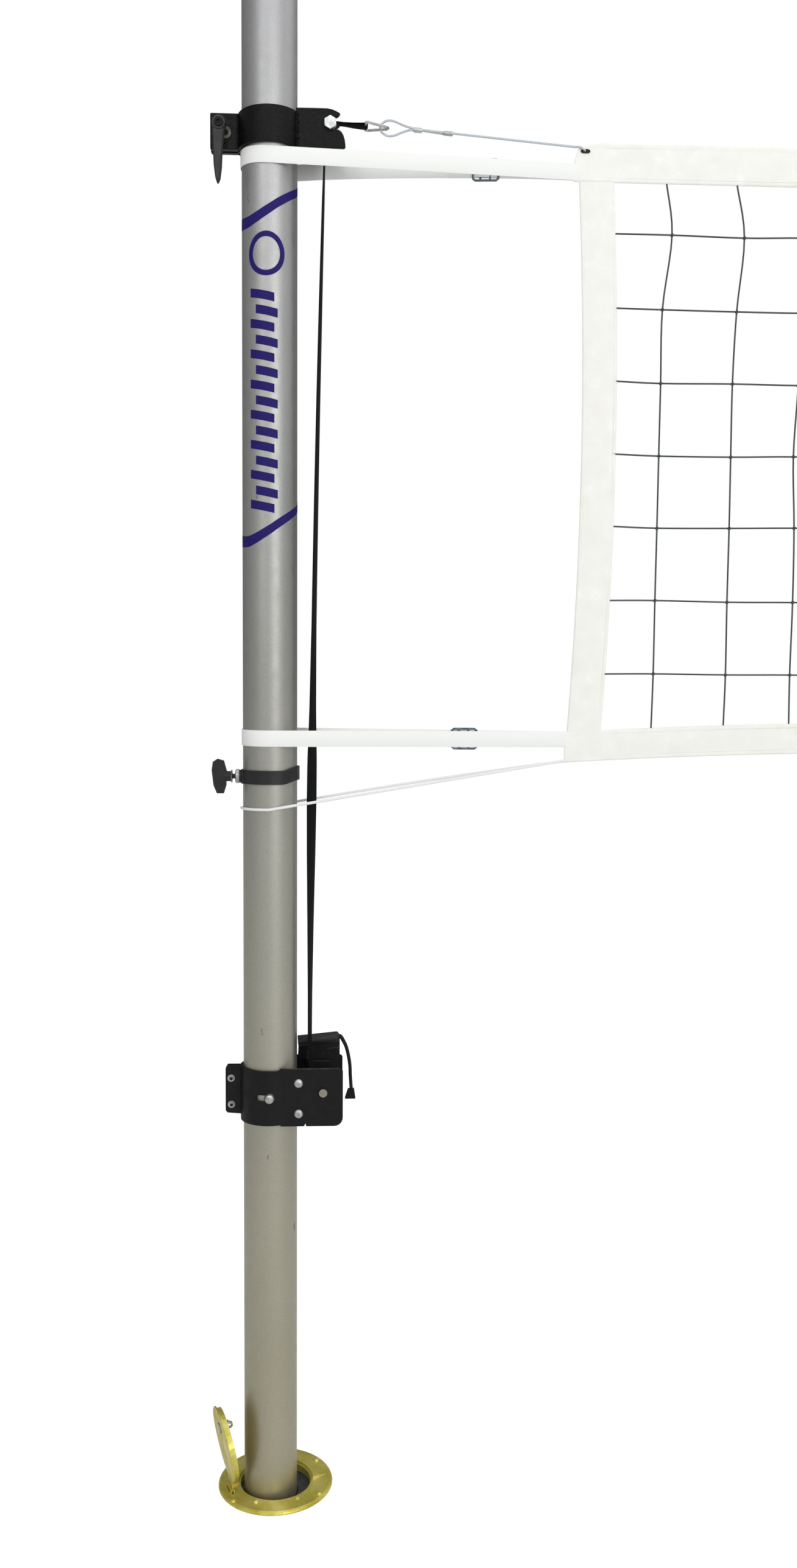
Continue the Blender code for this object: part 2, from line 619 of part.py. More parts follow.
def make_net_straps():
    for name, (low, high), buckle_x in (("upper", UPPER_STRAP, 0.353), ("lower", LOWER_STRAP, 0.332)):
        tip = min(edge_reach(low), edge_reach(NET_BOTTOM - CORNER_DROP)) - 0.0015
        loops = [teardrop(0.0464, tip, 0.0026), teardrop(0.0451, tip - 0.010, 0.0010)]
        strap = plate(loops, low, high, upright=False)
        if name == "upper":
            strap.data.transform(Matrix(((1, 0, 0, 0), (0, 1, 0, 0), (0, STRAP_TILT, 1, 0), (0, 0, 0, 1))))
        both(finish(strap, f"left_{name}_strap", "white_webbing", LEFT))
        lean = atan2(0.0464 - 0.0026, tip)
        outer = 0.0464 - (0.0464 - 0.0026) * buckle_x / tip
        frame = [(-0.0200, -0.0150), (0.0200, -0.0150), (0.0200, 0.0150), (-0.0200, 0.0150)]
        window = [(-0.0150, -0.0090), (-0.0150, 0.0090), (0.0150, 0.0090), (0.0150, -0.0090)]
        buckle = plate([frame, window], -0.0013, 0.0013)
        bar = rod(0.0022, (0.003, 0, -0.0125), (0.003, 0, 0.0125), 10)
        place = (buckle_x, outer + 0.0040, (low + high) / 2 - 0.0010)
        both(finish(join(buckle, bar), f"left_{name}_buckle", "zinc", LEFT, place, (0, 0, -lean)))


def make_bottom_ropes():
    """A doubled cord from the net's lower corner round the pole, under the lower collar."""
    corner = NET_BOTTOM - CORNER_DROP + 0.004
    tip = edge_reach(corner) - 0.0050
    plan = teardrop(POLE_RADIUS + 0.0040, tip, 0.0034, 20)
    path = []
    for x, y in plan:
        rise = max(0.0, x / tip)
        path.append((x, y, ROPE_HEIGHT + rise * (corner - ROPE_HEIGHT)))
    both(finish(wire(path, 0.0030, cyclic=True), "left_bottom_rope", "white_webbing", LEFT))


clear_scene()
PARTS = make_collection("volleyball_net_on_poles")
LEFT = station("left_station", -POLE_SPACING / 2, 0)
RIGHT = station("right_station", POLE_SPACING / 2, pi)

make_pole()
make_sleeve()
make_floor_plate()
make_lid()
make_top_collar()
make_head_bolt()
make_clamp_lever()
make_lower_collar()
make_winch()
make_winch_handle()
make_strap()
make_hook_and_cables()
make_net()
make_net_straps()
make_bottom_ropes()
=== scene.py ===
"""The looks of a volleyball net on poles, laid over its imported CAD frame.

Metres, +X along the net and +Z up, with the origin at mid-span on the floor. Most pieces
are drawn at one pole, in a station frame: its origin is where the pole's axis meets the
floor, its X is the reach towards the net, and its Y points away from the camera. The
right station is the left one turned half a turn.
"""
import json
import random
from math import acos, atan2, cos, hypot, pi, radians, sin

import bmesh
import bpy
from mathutils import Matrix, Vector, noise


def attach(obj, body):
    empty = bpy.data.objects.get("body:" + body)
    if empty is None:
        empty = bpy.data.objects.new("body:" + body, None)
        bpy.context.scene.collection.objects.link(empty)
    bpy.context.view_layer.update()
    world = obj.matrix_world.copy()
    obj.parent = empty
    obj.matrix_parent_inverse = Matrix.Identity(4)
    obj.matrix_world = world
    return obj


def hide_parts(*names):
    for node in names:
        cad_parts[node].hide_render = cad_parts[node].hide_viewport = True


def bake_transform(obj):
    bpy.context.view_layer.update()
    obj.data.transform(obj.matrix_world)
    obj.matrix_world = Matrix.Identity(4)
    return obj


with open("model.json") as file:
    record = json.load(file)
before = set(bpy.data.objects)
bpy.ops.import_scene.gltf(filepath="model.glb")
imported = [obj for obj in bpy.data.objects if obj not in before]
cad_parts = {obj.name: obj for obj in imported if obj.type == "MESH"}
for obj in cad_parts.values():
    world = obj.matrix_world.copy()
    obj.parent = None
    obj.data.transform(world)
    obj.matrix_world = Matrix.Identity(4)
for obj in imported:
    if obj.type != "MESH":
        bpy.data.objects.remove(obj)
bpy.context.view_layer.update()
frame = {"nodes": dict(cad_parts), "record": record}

HALF_SPAN = 5.25
POLE_RADIUS = 0.04445
POLE_WALL = 0.004
POLE_TOP = 2.54
POLE_FOOT = -0.286
COLLAR_BORE = POLE_RADIUS + 0.0003
LEFT = Matrix.Translation((-HALF_SPAN, 0, 0))
RIGHT = Matrix.Translation((HALF_SPAN, 0, 0)) @ Matrix.Rotation(pi, 4, "Z")
ENDS = (("left", LEFT), ("right", RIGHT))
COLLARS = {"left": "net", "right": "right_collars"}

# The net, as the CAD has it
NET_TOP = 2.24
NET_BOTTOM = 1.2545
NET_REACH = 0.496
TOP_TAPE = 0.062
BOTTOM_TAPE = 0.051
SIDE_TAPE = 0.057
CORNER_DROP = 0.018
CORNER_RUN = 0.6
EDGE_BOW = (0.062, -0.07)
CORD_RADIUS = 0.0015
ROWS = (2.0968, 1.9785, 1.8615, 1.7437, 1.626, 1.5044, 1.383)
FIRST_COLUMNS = ((0.642, 0.6532, 0.6395, 0.639, 0.638, 0.637, 0.636, 0.635, 0.633),
                 (0.758, 0.773, 0.763, 0.7585, 0.758, 0.758, 0.757, 0.757, 0.755))
COLUMNS = 83

# Fittings on a pole
HEAD_BOLT = (0.097, 2.25)
LEVER_PIVOT = (-0.079, 2.2465)
UPPER_STRAP = 2.19495
UPPER_STRAP_LIMIT = 2.1977
LOWER_STRAP = 1.275
STRAP_OUT = 0.0458
WEBBING_WIDTH = 0.025
WEBBING_THICKNESS = 0.0018
CABLE_DIAMETER = 0.0036
ROPE_DIAMETER = 0.0045
CLEAR_OF_COLLAR = 0.055
KNOB_HEIGHT = 1.2125
ROPE_HEIGHT = 1.1607
DRUM_AXIS = (0.0884, 0.6942)
HOOK_BAR = (0.1535, 2.257)
HOOK_TIP = (0.1895, 2.2548)
PLATE_CENTRE = (0.008, 0.0075)
PLATE_TOP = 0.006
LID_REACH = 0.079
LID_HEIGHT = 0.0068
LID_TURN = radians(18)
LID_LEAN = radians(100)


# Materials

class Nodes:
    """A shader's node tree, built up one node at a time."""

    def __init__(self, tree):
        self.tree = tree

    def node(self, kind, inputs=None, **settings):
        made = self.tree.nodes.new("ShaderNode" + kind)
        for key, value in settings.items():
            setattr(made, key, value)
        for key, value in (inputs or {}).items():
            if isinstance(value, bpy.types.NodeSocket):
                self.tree.links.new(value, made.inputs[key])
            else:
                made.inputs[key].default_value = value
        return made

    def level(self, value, low, high, to_low=0.0, to_high=1.0):
        return self.node("MapRange", {"Value": value, "From Min": low, "From Max": high, "To Min": to_low,
                                      "To Max": to_high}).outputs["Result"]

    def ramp(self, value, *stops):
        made = self.node("ValToRGB", {"Fac": value})
        elements = made.color_ramp.elements
        while len(elements) < len(stops):
            elements.new(1.0)
        for element, (place, colour) in zip(elements, stops):
            element.position = place
            element.color = (*colour, 1.0)
        return made.outputs["Color"]

    def mix(self, factor, first, second, blend="MIX"):
        inputs = {"Fac": factor, "Color1": first, "Color2": second}
        for key in ("Color1", "Color2"):
            if isinstance(inputs[key], tuple):
                inputs[key] = (*inputs[key], 1.0)
        return self.node("MixRGB", inputs, blend_type=blend).outputs["Color"]

    def times(self, first, second):
        return self.node("Math", {0: first, 1: second}, operation="MULTIPLY").outputs["Value"]

    def plus(self, first, second):
        return self.node("Math", {0: first, 1: second}, operation="ADD").outputs["Value"]

    def share(self, first, second, part):
        """So much of the first value, and the rest of the second."""
        return self.plus(self.times(first, part), self.times(second, 1 - part))


class Look(Nodes):
    """A Principled material whose colour, roughness and relief come from nodes."""

    def __init__(self, name, roughness=0.5, metallic=0.0, **sockets):
        self.material = bpy.data.materials.new(name)
        self.material.use_nodes = True
        super().__init__(self.material.node_tree)
        self.shader = self.tree.nodes["Principled BSDF"]
        self.shader.inputs["Roughness"].default_value = roughness
        self.shader.inputs["Metallic"].default_value = metallic
        for key, value in sockets.items():
            self.shader.inputs[key.replace("_", " ")].default_value = value
        self.where = self.node("TexCoord").outputs["Object"]

    def stretched(self, x, y, z):
        return self.node("VectorMath", {0: self.where, 1: (x, y, z)}, operation="MULTIPLY").outputs["Vector"]

    def noise(self, scale, detail=2.0, vector=None):
        inputs = {"Vector": vector or self.where, "Scale": scale, "Detail": detail}
        return self.node("TexNoise", inputs).outputs["Fac"]

    def cloud(self, scale, detail, low, high):
        """Soft noise, spread between two values."""
        return self.level(self.noise(scale, detail), 0.3, 0.7, low, high)

    def wave(self, scale, vector=None, direction="X", distortion=0.0):
        return self.node("TexWave", {"Vector": vector or self.where, "Scale": scale, "Distortion": distortion},
                         bands_direction=direction).outputs["Fac"]

    def colour(self, socket):
        self.tree.links.new(socket, self.shader.inputs["Base Color"])
        return self

    def rough(self, socket):
        self.tree.links.new(socket, self.shader.inputs["Roughness"])
        return self

    def relief(self, height, depth, strength=1.0):
        bump = self.node("Bump", {"Height": height, "Distance": depth, "Strength": strength})
        self.tree.links.new(bump.outputs["Normal"], self.shader.inputs["Normal"])
        return self


def srgb(red, green, blue):
    """A colour given in 0 to 255 as the eye sees it, made linear."""
    return tuple(c / 12.92 if c <= 0.04045 else ((c + 0.055) / 1.055) ** 2.4
                 for c in (red / 255, green / 255, blue / 255))


def make_aluminium():
    look = Look("satin_aluminium", metallic=0.85)
    # The colour graded by height copies how the pole is lit, so it is painted light: warmer low down as a painted
    # reflection of the floor, a little darker at mid-height as painted shade, and lighter and cooler near the top.
    height = look.node("SeparateXYZ", {"Vector": look.where}).outputs["Z"]
    tone = look.ramp(look.level(height, 0.0, 2.5), (0.0, srgb(176, 170, 148)), (0.3, srgb(170, 168, 155)),
                     (0.62, srgb(164, 165, 161)), (1.0, srgb(173, 173, 175)))
    speckle = look.cloud(1100, 1.0, 0.86, 1.12)
    cloud = look.level(look.noise(9, 3.0, look.stretched(1, 1, 0.35)), 0.3, 0.7, 0.95, 1.05)
    tone = look.mix(1.0, tone, look.times(speckle, cloud), "MULTIPLY")
    scuff = look.level(look.noise(38, 3.0, look.stretched(1.0, 1.0, 0.55)), 0.735, 0.765)
    look.colour(look.mix(look.times(scuff, 0.6), tone, srgb(88, 86, 78)))
    look.rough(look.cloud(60, 2.0, 0.42, 0.5))
    return look.relief(look.noise(1300, 1.0), 0.00005, 0.5).material


def make_powder_coat():
    """Black textured powder coat: orange peel whose crests catch the light."""
    look = Look("textured_black_coat", Specular_IOR_Level=0.15)
    grain = look.noise(950, 2.0)
    wrinkle = look.noise(300, 3.0)
    look.colour(look.ramp(grain, (0.3, srgb(2, 2, 3)), (0.75, srgb(9, 9, 11))))
    look.rough(look.level(grain, 0.3, 0.7, 0.16, 0.32))
    return look.relief(look.plus(look.times(grain, 0.5), wrinkle), 0.0013, 0.65).material


def make_winch_coat():
    look = Look("smooth_black_coat", Specular_IOR_Level=0.2)
    look.colour(look.ramp(look.noise(60, 3.0), (0.3, srgb(13, 13, 14)), (0.7, srgb(20, 20, 21))))
    look.rough(look.cloud(45, 2.0, 0.42, 0.6))
    return look.relief(look.noise(1400, 1.0), 0.0001, 0.4).material


def make_plastic(name, dark, light, roughness, grain):
    look = Look(name, Specular_IOR_Level=0.45)
    look.colour(look.ramp(look.noise(50, 3.0), (0.3, dark), (0.75, light)))
    look.rough(look.cloud(80, 2.0, roughness - 0.06, roughness + 0.08))
    return look.relief(look.noise(grain, 1.0), 0.00018, 0.5).material


def make_steel(name, dark, light, roughness, streak=(1, 1, 1)):
    look = Look(name, metallic=1.0)
    streaks = look.noise(500, 2.0, look.stretched(*streak))
    look.colour(look.ramp(look.share(look.noise(70, 3.0), streaks, 0.6), (0.35, dark), (0.65, light)))
    look.rough(look.cloud(120, 2.0, roughness - 0.07, roughness + 0.1))
    return look.relief(streaks, 0.00008, 0.5).material


def make_brass():
    """Sand-cast brass gone olive, a little brighter where it is rubbed."""
    look = Look("cast_brass", metallic=0.55)
    patina = look.noise(24, 4.0)
    tone = look.ramp(patina, (0.3, srgb(186, 172, 70)), (0.5, srgb(212, 199, 92)), (0.72, srgb(232, 221, 132)))
    speck = look.cloud(600, 2.0, 0.85, 1.1)
    look.colour(look.mix(1.0, tone, speck, "MULTIPLY"))
    look.rough(look.level(patina, 0.3, 0.7, 0.5, 0.34))
    return look.relief(look.noise(420, 3.0), 0.0003, 0.45).material


def make_galvanised():
    look = Look("galvanised_steel", metallic=0.8)
    spangle = look.node("TexVoronoi", {"Vector": look.where, "Scale": 260.0}).outputs["Color"]
    flake = look.node("SeparateColor", {"Color": spangle}).outputs["Red"]
    look.colour(look.ramp(flake, (0.0, srgb(66, 68, 72)), (1.0, srgb(92, 95, 100))))
    look.rough(look.level(flake, 0, 1, 0.42, 0.62))
    return look.relief(look.noise(300, 2.0), 0.0003, 0.4).material


def make_vinyl():
    """Off-white coated tape: a fine basket weave under the coating, a little mottled."""
    look = Look("coated_white_tape", Specular_IOR_Level=0.3, Sheen_Weight=0.05)
    weave = look.plus(look.wave(420, direction="X"), look.wave(420, direction="Z"))
    patch = look.noise(34, 5.0)
    rub = look.level(look.noise(90, 4.0), 0.6, 0.63)
    tone = look.ramp(patch, (0.25, srgb(240, 240, 233)), (0.6, srgb(245, 245, 239)),
                     (0.75, srgb(249, 249, 246)))
    look.colour(look.mix(look.times(rub, look.level(patch, 0.5, 0.6, 0.0, 0.5)), tone, srgb(250, 250, 247)))
    look.rough(look.level(patch, 0.3, 0.7, 0.55, 0.7))
    return look.relief(weave, 0.00012, 0.5).material


def make_webbing(name, dark, light, depth=0.00035):
    """Flat webbing woven in a tight twill: ribs across the run, split by a zigzag."""
    look = Look(name, roughness=0.8, Specular_IOR_Level=0.15)
    slant = look.node("VectorRotate", {"Vector": look.where, "Angle": radians(38)}, rotation_type="Y_AXIS")
    ribs = look.wave(330, slant.outputs["Vector"], "Z")
    cross = look.wave(260, look.where, "X")
    weave = look.share(ribs, cross, 0.6)
    look.colour(look.ramp(look.share(weave, look.noise(900, 2.0), 0.6), (0.2, dark), (0.8, light)))
    return look.relief(weave, depth, 0.6).material


def make_laid_cord(name, dark, light, scale, roughness=0.8, **sockets):
    """Twisted strands: slanting bands that wrap the cord, whichever way it runs."""
    look = Look(name, roughness=roughness, **sockets)
    first = look.node("VectorRotate", {"Vector": look.where, "Angle": radians(42)}, rotation_type="Y_AXIS")
    strands = look.wave(scale, first.outputs["Vector"], "X", 1.5)
    look.colour(look.ramp(look.share(strands, look.noise(700, 2.0), 0.7), (0.2, dark), (0.8, light)))
    return look.relief(strands, 0.0004, 0.6).material


def make_paint(name, dark, light, roughness):
    look = Look(name, roughness=roughness, Specular_IOR_Level=0.15)
    look.colour(look.ramp(look.noise(700, 2.0), (0.3, dark), (0.7, light)))
    return look.relief(look.noise(900, 1.0), 0.00004, 0.4).material


ALUMINIUM = make_aluminium()
POWDER = make_powder_coat()
WINCH_COAT = make_winch_coat()
GREY_PLASTIC = make_plastic("grey_moulded_plastic", srgb(34, 34, 36), srgb(50, 50, 52), 0.55, 1500)
BLACK_PLASTIC = make_plastic("black_moulded_plastic", srgb(10, 10, 12), srgb(22, 22, 24), 0.42, 1100)
RUBBER = make_plastic("black_rubber", srgb(22, 22, 22), srgb(34, 33, 32), 0.78, 500)
ZINC = make_steel("bright_zinc", srgb(154, 156, 155), srgb(208, 210, 207), 0.35)
STEEL = make_steel("dull_steel", srgb(128, 122, 112), srgb(168, 160, 148), 0.42, (1, 1, 8))
BRASS = make_brass()
GALVANISED = make_galvanised()
VINYL = make_vinyl()
WHITE_WEBBING = make_webbing("white_webbing", srgb(235, 237, 234), srgb(246, 247, 244), 0.0001)
BLACK_WEBBING = make_webbing("black_webbing", srgb(2, 3, 4), srgb(10, 12, 14))
THREAD = make_laid_cord("white_thread", srgb(240, 240, 234), srgb(249, 249, 245), 900)
NET_CORD = make_laid_cord("dark_net_cord", srgb(42, 46, 48), srgb(92, 98, 102), 420)
ROPE = make_laid_cord("white_rope", srgb(232, 234, 238), srgb(250, 250, 249), 260)
BUCKLE = make_steel("blued_buckle_steel", srgb(70, 84, 100), srgb(150, 162, 172), 0.32)
CABLE = make_laid_cord("coated_cable", srgb(150, 160, 170), srgb(232, 238, 242), 380, 0.25, Metallic=0.3,
                       Coat_Weight=0.9, Coat_Roughness=0.08)
NAVY = make_paint("navy_print", srgb(30, 20, 94), srgb(36, 26, 104), 0.6)
# Worn steel: the ear washer's own colour, and the lines on the winch's edges, which are partly wear and partly
# painted highlight.
WORN_STEEL_AND_HIGHLIGHT = make_steel("worn_steel_and_painted_highlight", srgb(86, 84, 78), srgb(128, 124, 112), 0.5)

BY_SLOT = {"aluminium": ALUMINIUM, "black_coat": POWDER, "grey_plastic": GREY_PLASTIC,
           "black_plastic": BLACK_PLASTIC, "zinc": ZINC, "bare_steel": STEEL, "brass": BRASS,
           "galvanised": GALVANISED, "rubber": RUBBER, "white_vinyl": VINYL, "white_webbing": WHITE_WEBBING,
           "black_webbing": BLACK_WEBBING, "net_cord": NET_CORD}
WINCH_COATED = ("winch_front_bracket", "winch_rear_bracket", "winch_handle", "left_clamp_screw",
                "right_clamp_screw")


def finish_cad():
    """Give every CAD node that stays in view its material."""
    for part in frame["record"]["subparts"]:
        node = frame["nodes"][part["node"]]
        look = WINCH_COAT if part["node"] in WINCH_COATED else BY_SLOT[part["material_slot"]]
        for slot in node.material_slots:
            slot.material = look


# Meshes

def circle(count):
    """The angles of so many equal steps round a circle."""
    return [2 * pi * k / count for k in range(count)]


class Skin:
    """The points and faces of one piece, gathered as rings of points are skinned."""

    def __init__(self):
        self.points, self.faces = [], []

    def loft(self, rings, closed=False):
        first, size, count = len(self.points), len(rings[0]), len(rings)
        for ring in rings:
            self.points.extend(Vector(point) for point in ring)
        for i in range(count if closed else count - 1):
            here, there = first + i * size, first + (i + 1) % count * size
            for k in range(size):
                after = (k + 1) % size
                self.faces.append((here + k, here + after, there + after, there + k))
        if not closed:
            self.faces.append(tuple(range(first + size - 1, first - 1, -1)))
            self.faces.append(tuple(range(first + (count - 1) * size, first + count * size)))

    def tube(self, path, radius, sides=8, closed=False):
        """A round bar along a path; radius is one number, or one for each point."""
        path = [Vector(point) for point in path]
        last = len(path) - 1
        rings, across = [], None
        for i, point in enumerate(path):
            before = path[i - 1] if i or closed else path[0]
            after = path[(i + 1) % len(path)] if i < last or closed else path[last]
            run = (after - before).normalized()
            across = (across or run.orthogonal()) - run * (across or run.orthogonal()).dot(run)
            across.normalize()
            up = run.cross(across)
            size = radius[i] if isinstance(radius, (list, tuple)) else radius
            rings.append([point + (across * cos(a) + up * sin(a)) * size for a in circle(sides)])
        self.loft(rings, closed)

    def lathe(self, profile, sides=24, place=None):
        """Turn (radius, height) points about Z, from one end to the other, then place the result."""
        place = place or Matrix()
        self.loft([[place @ Vector((max(radius, 0.00005) * cos(a), max(radius, 0.00005) * sin(a), height))
                    for a in circle(sides)] for radius, height in profile])

    def ring(self, profile, sides, place=None):
        """Turn a closed (radius, height) outline about Z, then place the result."""
        place = place or Matrix()
        self.loft([[place @ Vector((r * cos(a), r * sin(a), h)) for r, h in profile] for a in circle(sides)],
                  closed=True)

    def ribbon(self, path, widths, width, thickness, closed=False):
        """Flat webbing along a path; widths holds its width direction at each point."""
        rings = []
        edge = thickness / 2
        last = len(path) - 1
        for i, (point, wide) in enumerate(zip(path, widths)):
            half = (width[i] if isinstance(width, (list, tuple)) else width) / 2
            section = [(-half, -edge * 0.45), (-half + edge, -edge), (half - edge, -edge), (half, -edge * 0.45),
                       (half, edge * 0.45), (half - edge, edge), (-half + edge, edge), (-half, edge * 0.45)]
            run = (Vector(path[min(i + 1, last)]) - Vector(path[max(i - 1, 0)])).normalized()
            wide = (Vector(wide) - run * Vector(wide).dot(run)).normalized()
            out = run.cross(wide)
            rings.append([Vector(point) + wide * a + out * b for a, b in section])
        self.loft(rings, closed)

    def slab(self, outline, low, high, place=None):
        """A flat plate from an outline in XY, between two heights."""
        place = place or Matrix()
        self.loft([[place @ Vector((x, y, z)) for x, y in outline] for z in (low, high)])

    def plate(self, outline, near, far, bevel):
        """An upright plate from an outline in XZ, between two Y planes, with its edges rounded off."""
        middle = [Vector((x, 0, z)) for x, z in outline]
        area = sum(a.x * b.z - b.x * a.z for a, b in zip(middle, middle[1:] + middle[:1]))
        inset = []
        for a, b, c in zip(middle[-1:] + middle[:-1], middle, middle[1:] + middle[:1]):
            run = ((b - a).normalized() + (c - b).normalized()).normalized()
            inset.append(b + Vector((-run.z, 0, run.x)) * (bevel if area > 0 else -bevel))
        rings = []
        for points, y in ((inset, near), (middle, near + bevel), (middle, far - bevel), (inset, far)):
            rings.append([point + Vector((0, y, 0)) for point in points])
        self.loft(rings)

    def hoop(self, inner, outer, low, high, lift=None, sides=96):
        """A band round the pole; lift raises its points by an amount found from their reach."""
        rings = []
        for a in circle(sides):
            up = lift(cos(a)) if lift else 0.0
            rings.append([(r * cos(a), r * sin(a), z + up) for r, z in
                          ((inner, low), (outer - 0.0006, low), (outer, low + 0.0006), (outer, high - 0.0006),
                           (outer - 0.0006, high), (inner, high))])
        self.loft(rings, closed=True)

    def save(self, name, material, body, slot, place=LEFT, angle=35, stands_for=None):
        mesh = bpy.data.meshes.new(name)
        mesh.from_pydata([place @ point for point in self.points], [], self.faces)
        bm = bmesh.new()
        bm.from_mesh(mesh)
        bmesh.ops.remove_doubles(bm, verts=bm.verts, dist=0.00002)
        bmesh.ops.recalc_face_normals(bm, faces=bm.faces)
        bm.to_mesh(mesh)
        bm.free()
        mesh.materials.append(material)
        mesh.shade_smooth()
        mesh.set_sharp_from_angle(angle=radians(angle))
        piece = bpy.data.objects.new(name, mesh)
        bpy.context.scene.collection.objects.link(piece)
        if body:
            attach(piece, body)
        if stands_for:
            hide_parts(stands_for)
        return piece


def smooth(points, steps):
    """A curve through the points, with so many steps between each two."""
    points = [Vector(point) for point in points]
    padded = [points[0] * 2 - points[1], *points, points[-1] * 2 - points[-2]]
    curve = []
    for a, b, c, d in zip(padded, padded[1:], padded[2:], padded[3:]):
        for i in range(steps):
            t = i / steps
            curve.append(0.5 * ((2 * b) + (c - a) * t + (2 * a - 5 * b + 4 * c - d) * t * t
                                + (3 * b - a - 3 * c + d) * t * t * t))
    return [*curve, points[-1]]


def between(start, end, steps):
    """Values at so many equal steps from start to end, with both of them."""
    return [start + (end - start) * i / steps for i in range(steps + 1)]


def arc(centre, radius, start, sweep, steps):
    """Points on part of a circle in XZ, from one angle through so many degrees."""
    x, z = centre
    return [(x + radius * cos(a), z + radius * sin(a))
            for a in (radians(start + sweep * k / steps) for k in range(steps + 1))]


def facing(reach, y, height, towards="-Y"):
    """The placing of a turned part whose axis points along Y or X, out of the piece it sits on."""
    turns = {"-Y": Matrix.Rotation(radians(90), 4, "X"), "+Y": Matrix.Rotation(radians(-90), 4, "X"),
             "-X": Matrix.Rotation(radians(-90), 4, "Y"), "+X": Matrix.Rotation(radians(90), 4, "Y"),
             "+Z": Matrix()}
    return Matrix.Translation((reach, y, height)) @ turns[towards]


def edge_reach(height):
    down = NET_TOP - height
    return NET_REACH + EDGE_BOW[0] * down + EDGE_BOW[1] * down * down


def corner_drop(reach):
    along = min(max((reach - edge_reach(NET_BOTTOM)) / CORNER_RUN, 0.0), 1.0)
    return CORNER_DROP * (1 - along) ** 2


# Camera

def make_camera():
    """A camera about 2.2 m in front of the left pole, a little above the pole's mid-height."""
    yaw, pitch, roll = 0.05, -0.06587, 0.00545
    ahead = Vector((sin(yaw), cos(yaw), 0))
    level = Vector((cos(yaw), -sin(yaw), 0))
    forward = ahead * cos(pitch) + Vector((0, 0, sin(pitch)))
    upward = Vector((0, 0, cos(pitch))) - ahead * sin(pitch)
    side = level * cos(roll) + upward * sin(roll)
    top = upward * cos(roll) - level * sin(roll)
    camera = bpy.data.objects.new("camera", bpy.data.cameras.new("camera"))
    bpy.context.scene.collection.objects.link(camera)
    place = Matrix((side, top, -forward)).transposed().to_4x4()
    place.translation = Vector((0.10185 - HALF_SPAN, -2.2, 1.34539))
    camera.matrix_world = place
    camera.data.sensor_width = 36
    camera.data.lens = 30.567
    camera.data.clip_end = 200
    bpy.context.scene.camera = camera


# Cords

def lay_cord(piece, node, place, route, diameter, stiffness, **more):
    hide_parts(node)


def make_net_cables():
    """The coated steel cable in the top tape: an eye on the hook, a crimp, and a taut run to the net."""
    crimp_end = 0.296
    slope = (NET_TOP - 0.007 - HOOK_TIP[1]) / (NET_REACH - 0.227)

    def on_line(reach):
        return (reach, 0, HOOK_TIP[1] + slope * (reach - 0.227))

    upper = [(0.1765, 0.0), (0.18, 0.0072), (0.1885, 0.0118), (0.199, 0.0112), (0.213, 0.0056), (0.226, 0.0018)]
    route = smooth([(a, 0, HOOK_TIP[1] + b) for a, b in upper] + [on_line(0.242), on_line(crimp_end)], 6)
    route += [Vector(on_line(reach)) for reach in between(crimp_end, NET_REACH - 0.004, 10)[1:]]
    route += smooth([route[-1], (0.499, -0.0038, 2.2318), (0.505, -0.0042, 2.2292),
                     (0.5085, -0.0014, 2.227)], 4)[1:]
    skin = Skin()
    skin.tube(route, CABLE_DIAMETER / 2, 10)
    cable = skin.save("left_cable", CABLE, "net", "zinc")

    skin = Skin()
    lower = [(a, -b) for a, b in upper]
    back = smooth([(a, 0, HOOK_TIP[1] + b) for a, b in lower] + [(0.242, 0.0022, HOOK_TIP[1] - 0.0012),
                                                               (0.29, 0.003, on_line(0.29)[2] - 0.0016)], 6)
    skin.tube(back, 0.0017, 10)
    tail = skin.save("left_cable_tail", CABLE, "net", "zinc")

    skin = Skin()
    for start, end, radius in ((0.23, 0.244, 0.0041), (0.278, 0.294, 0.0038)):
        middle = [Vector(on_line(reach)) + Vector((0, 0.001, -0.0005)) for reach in between(start, end, 4)]
        skin.tube(middle, [radius * 0.82, radius, radius * 0.93, radius, radius * 0.82], 14)
    crimps = skin.save("left_cable_crimps", ZINC, "net", "zinc")
    lay_cord(cable, "left_net_cable", LEFT, route, CABLE_DIAMETER, "stiff", with_pieces=[tail, crimps])

    bolt_x, bolt_z = HEAD_BOLT
    ring = [(bolt_x + 0.0082 * cos(a), -0.0008 + 0.0016 * i / 20, bolt_z + 0.0082 * sin(a))
            for i, a in enumerate(radians(-15 + 330 * k / 20) for k in range(21))]
    run = [(bolt_x + 0.014, 0.001, bolt_z - 0.0004)]
    run += [(bolt_x + 0.02 + (NET_REACH + 0.012 - bolt_x - 0.02) * i / 10, 0.001 * (1 - i / 10),
             bolt_z + (NET_TOP - 0.006 - bolt_z) * i / 10) for i in range(11)]
    route = [Vector(point) for point in ring + run]
    skin = Skin()
    skin.tube(route, CABLE_DIAMETER / 2, 10)
    cable = skin.save("right_cable", CABLE, "net", "zinc", RIGHT)
    skin = Skin()
    skin.tube([(bolt_x + 0.015 + 0.004 * i, 0.0004, bolt_z - 0.0006 * i) for i in range(5)],
              [0.0034, 0.0041, 0.0038, 0.0041, 0.0034], 14)
    crimp = skin.save("right_cable_crimp", ZINC, "net", "zinc", RIGHT)
    lay_cord(cable, "right_net_cable", RIGHT, route, CABLE_DIAMETER, "stiff", with_pieces=[crimp])


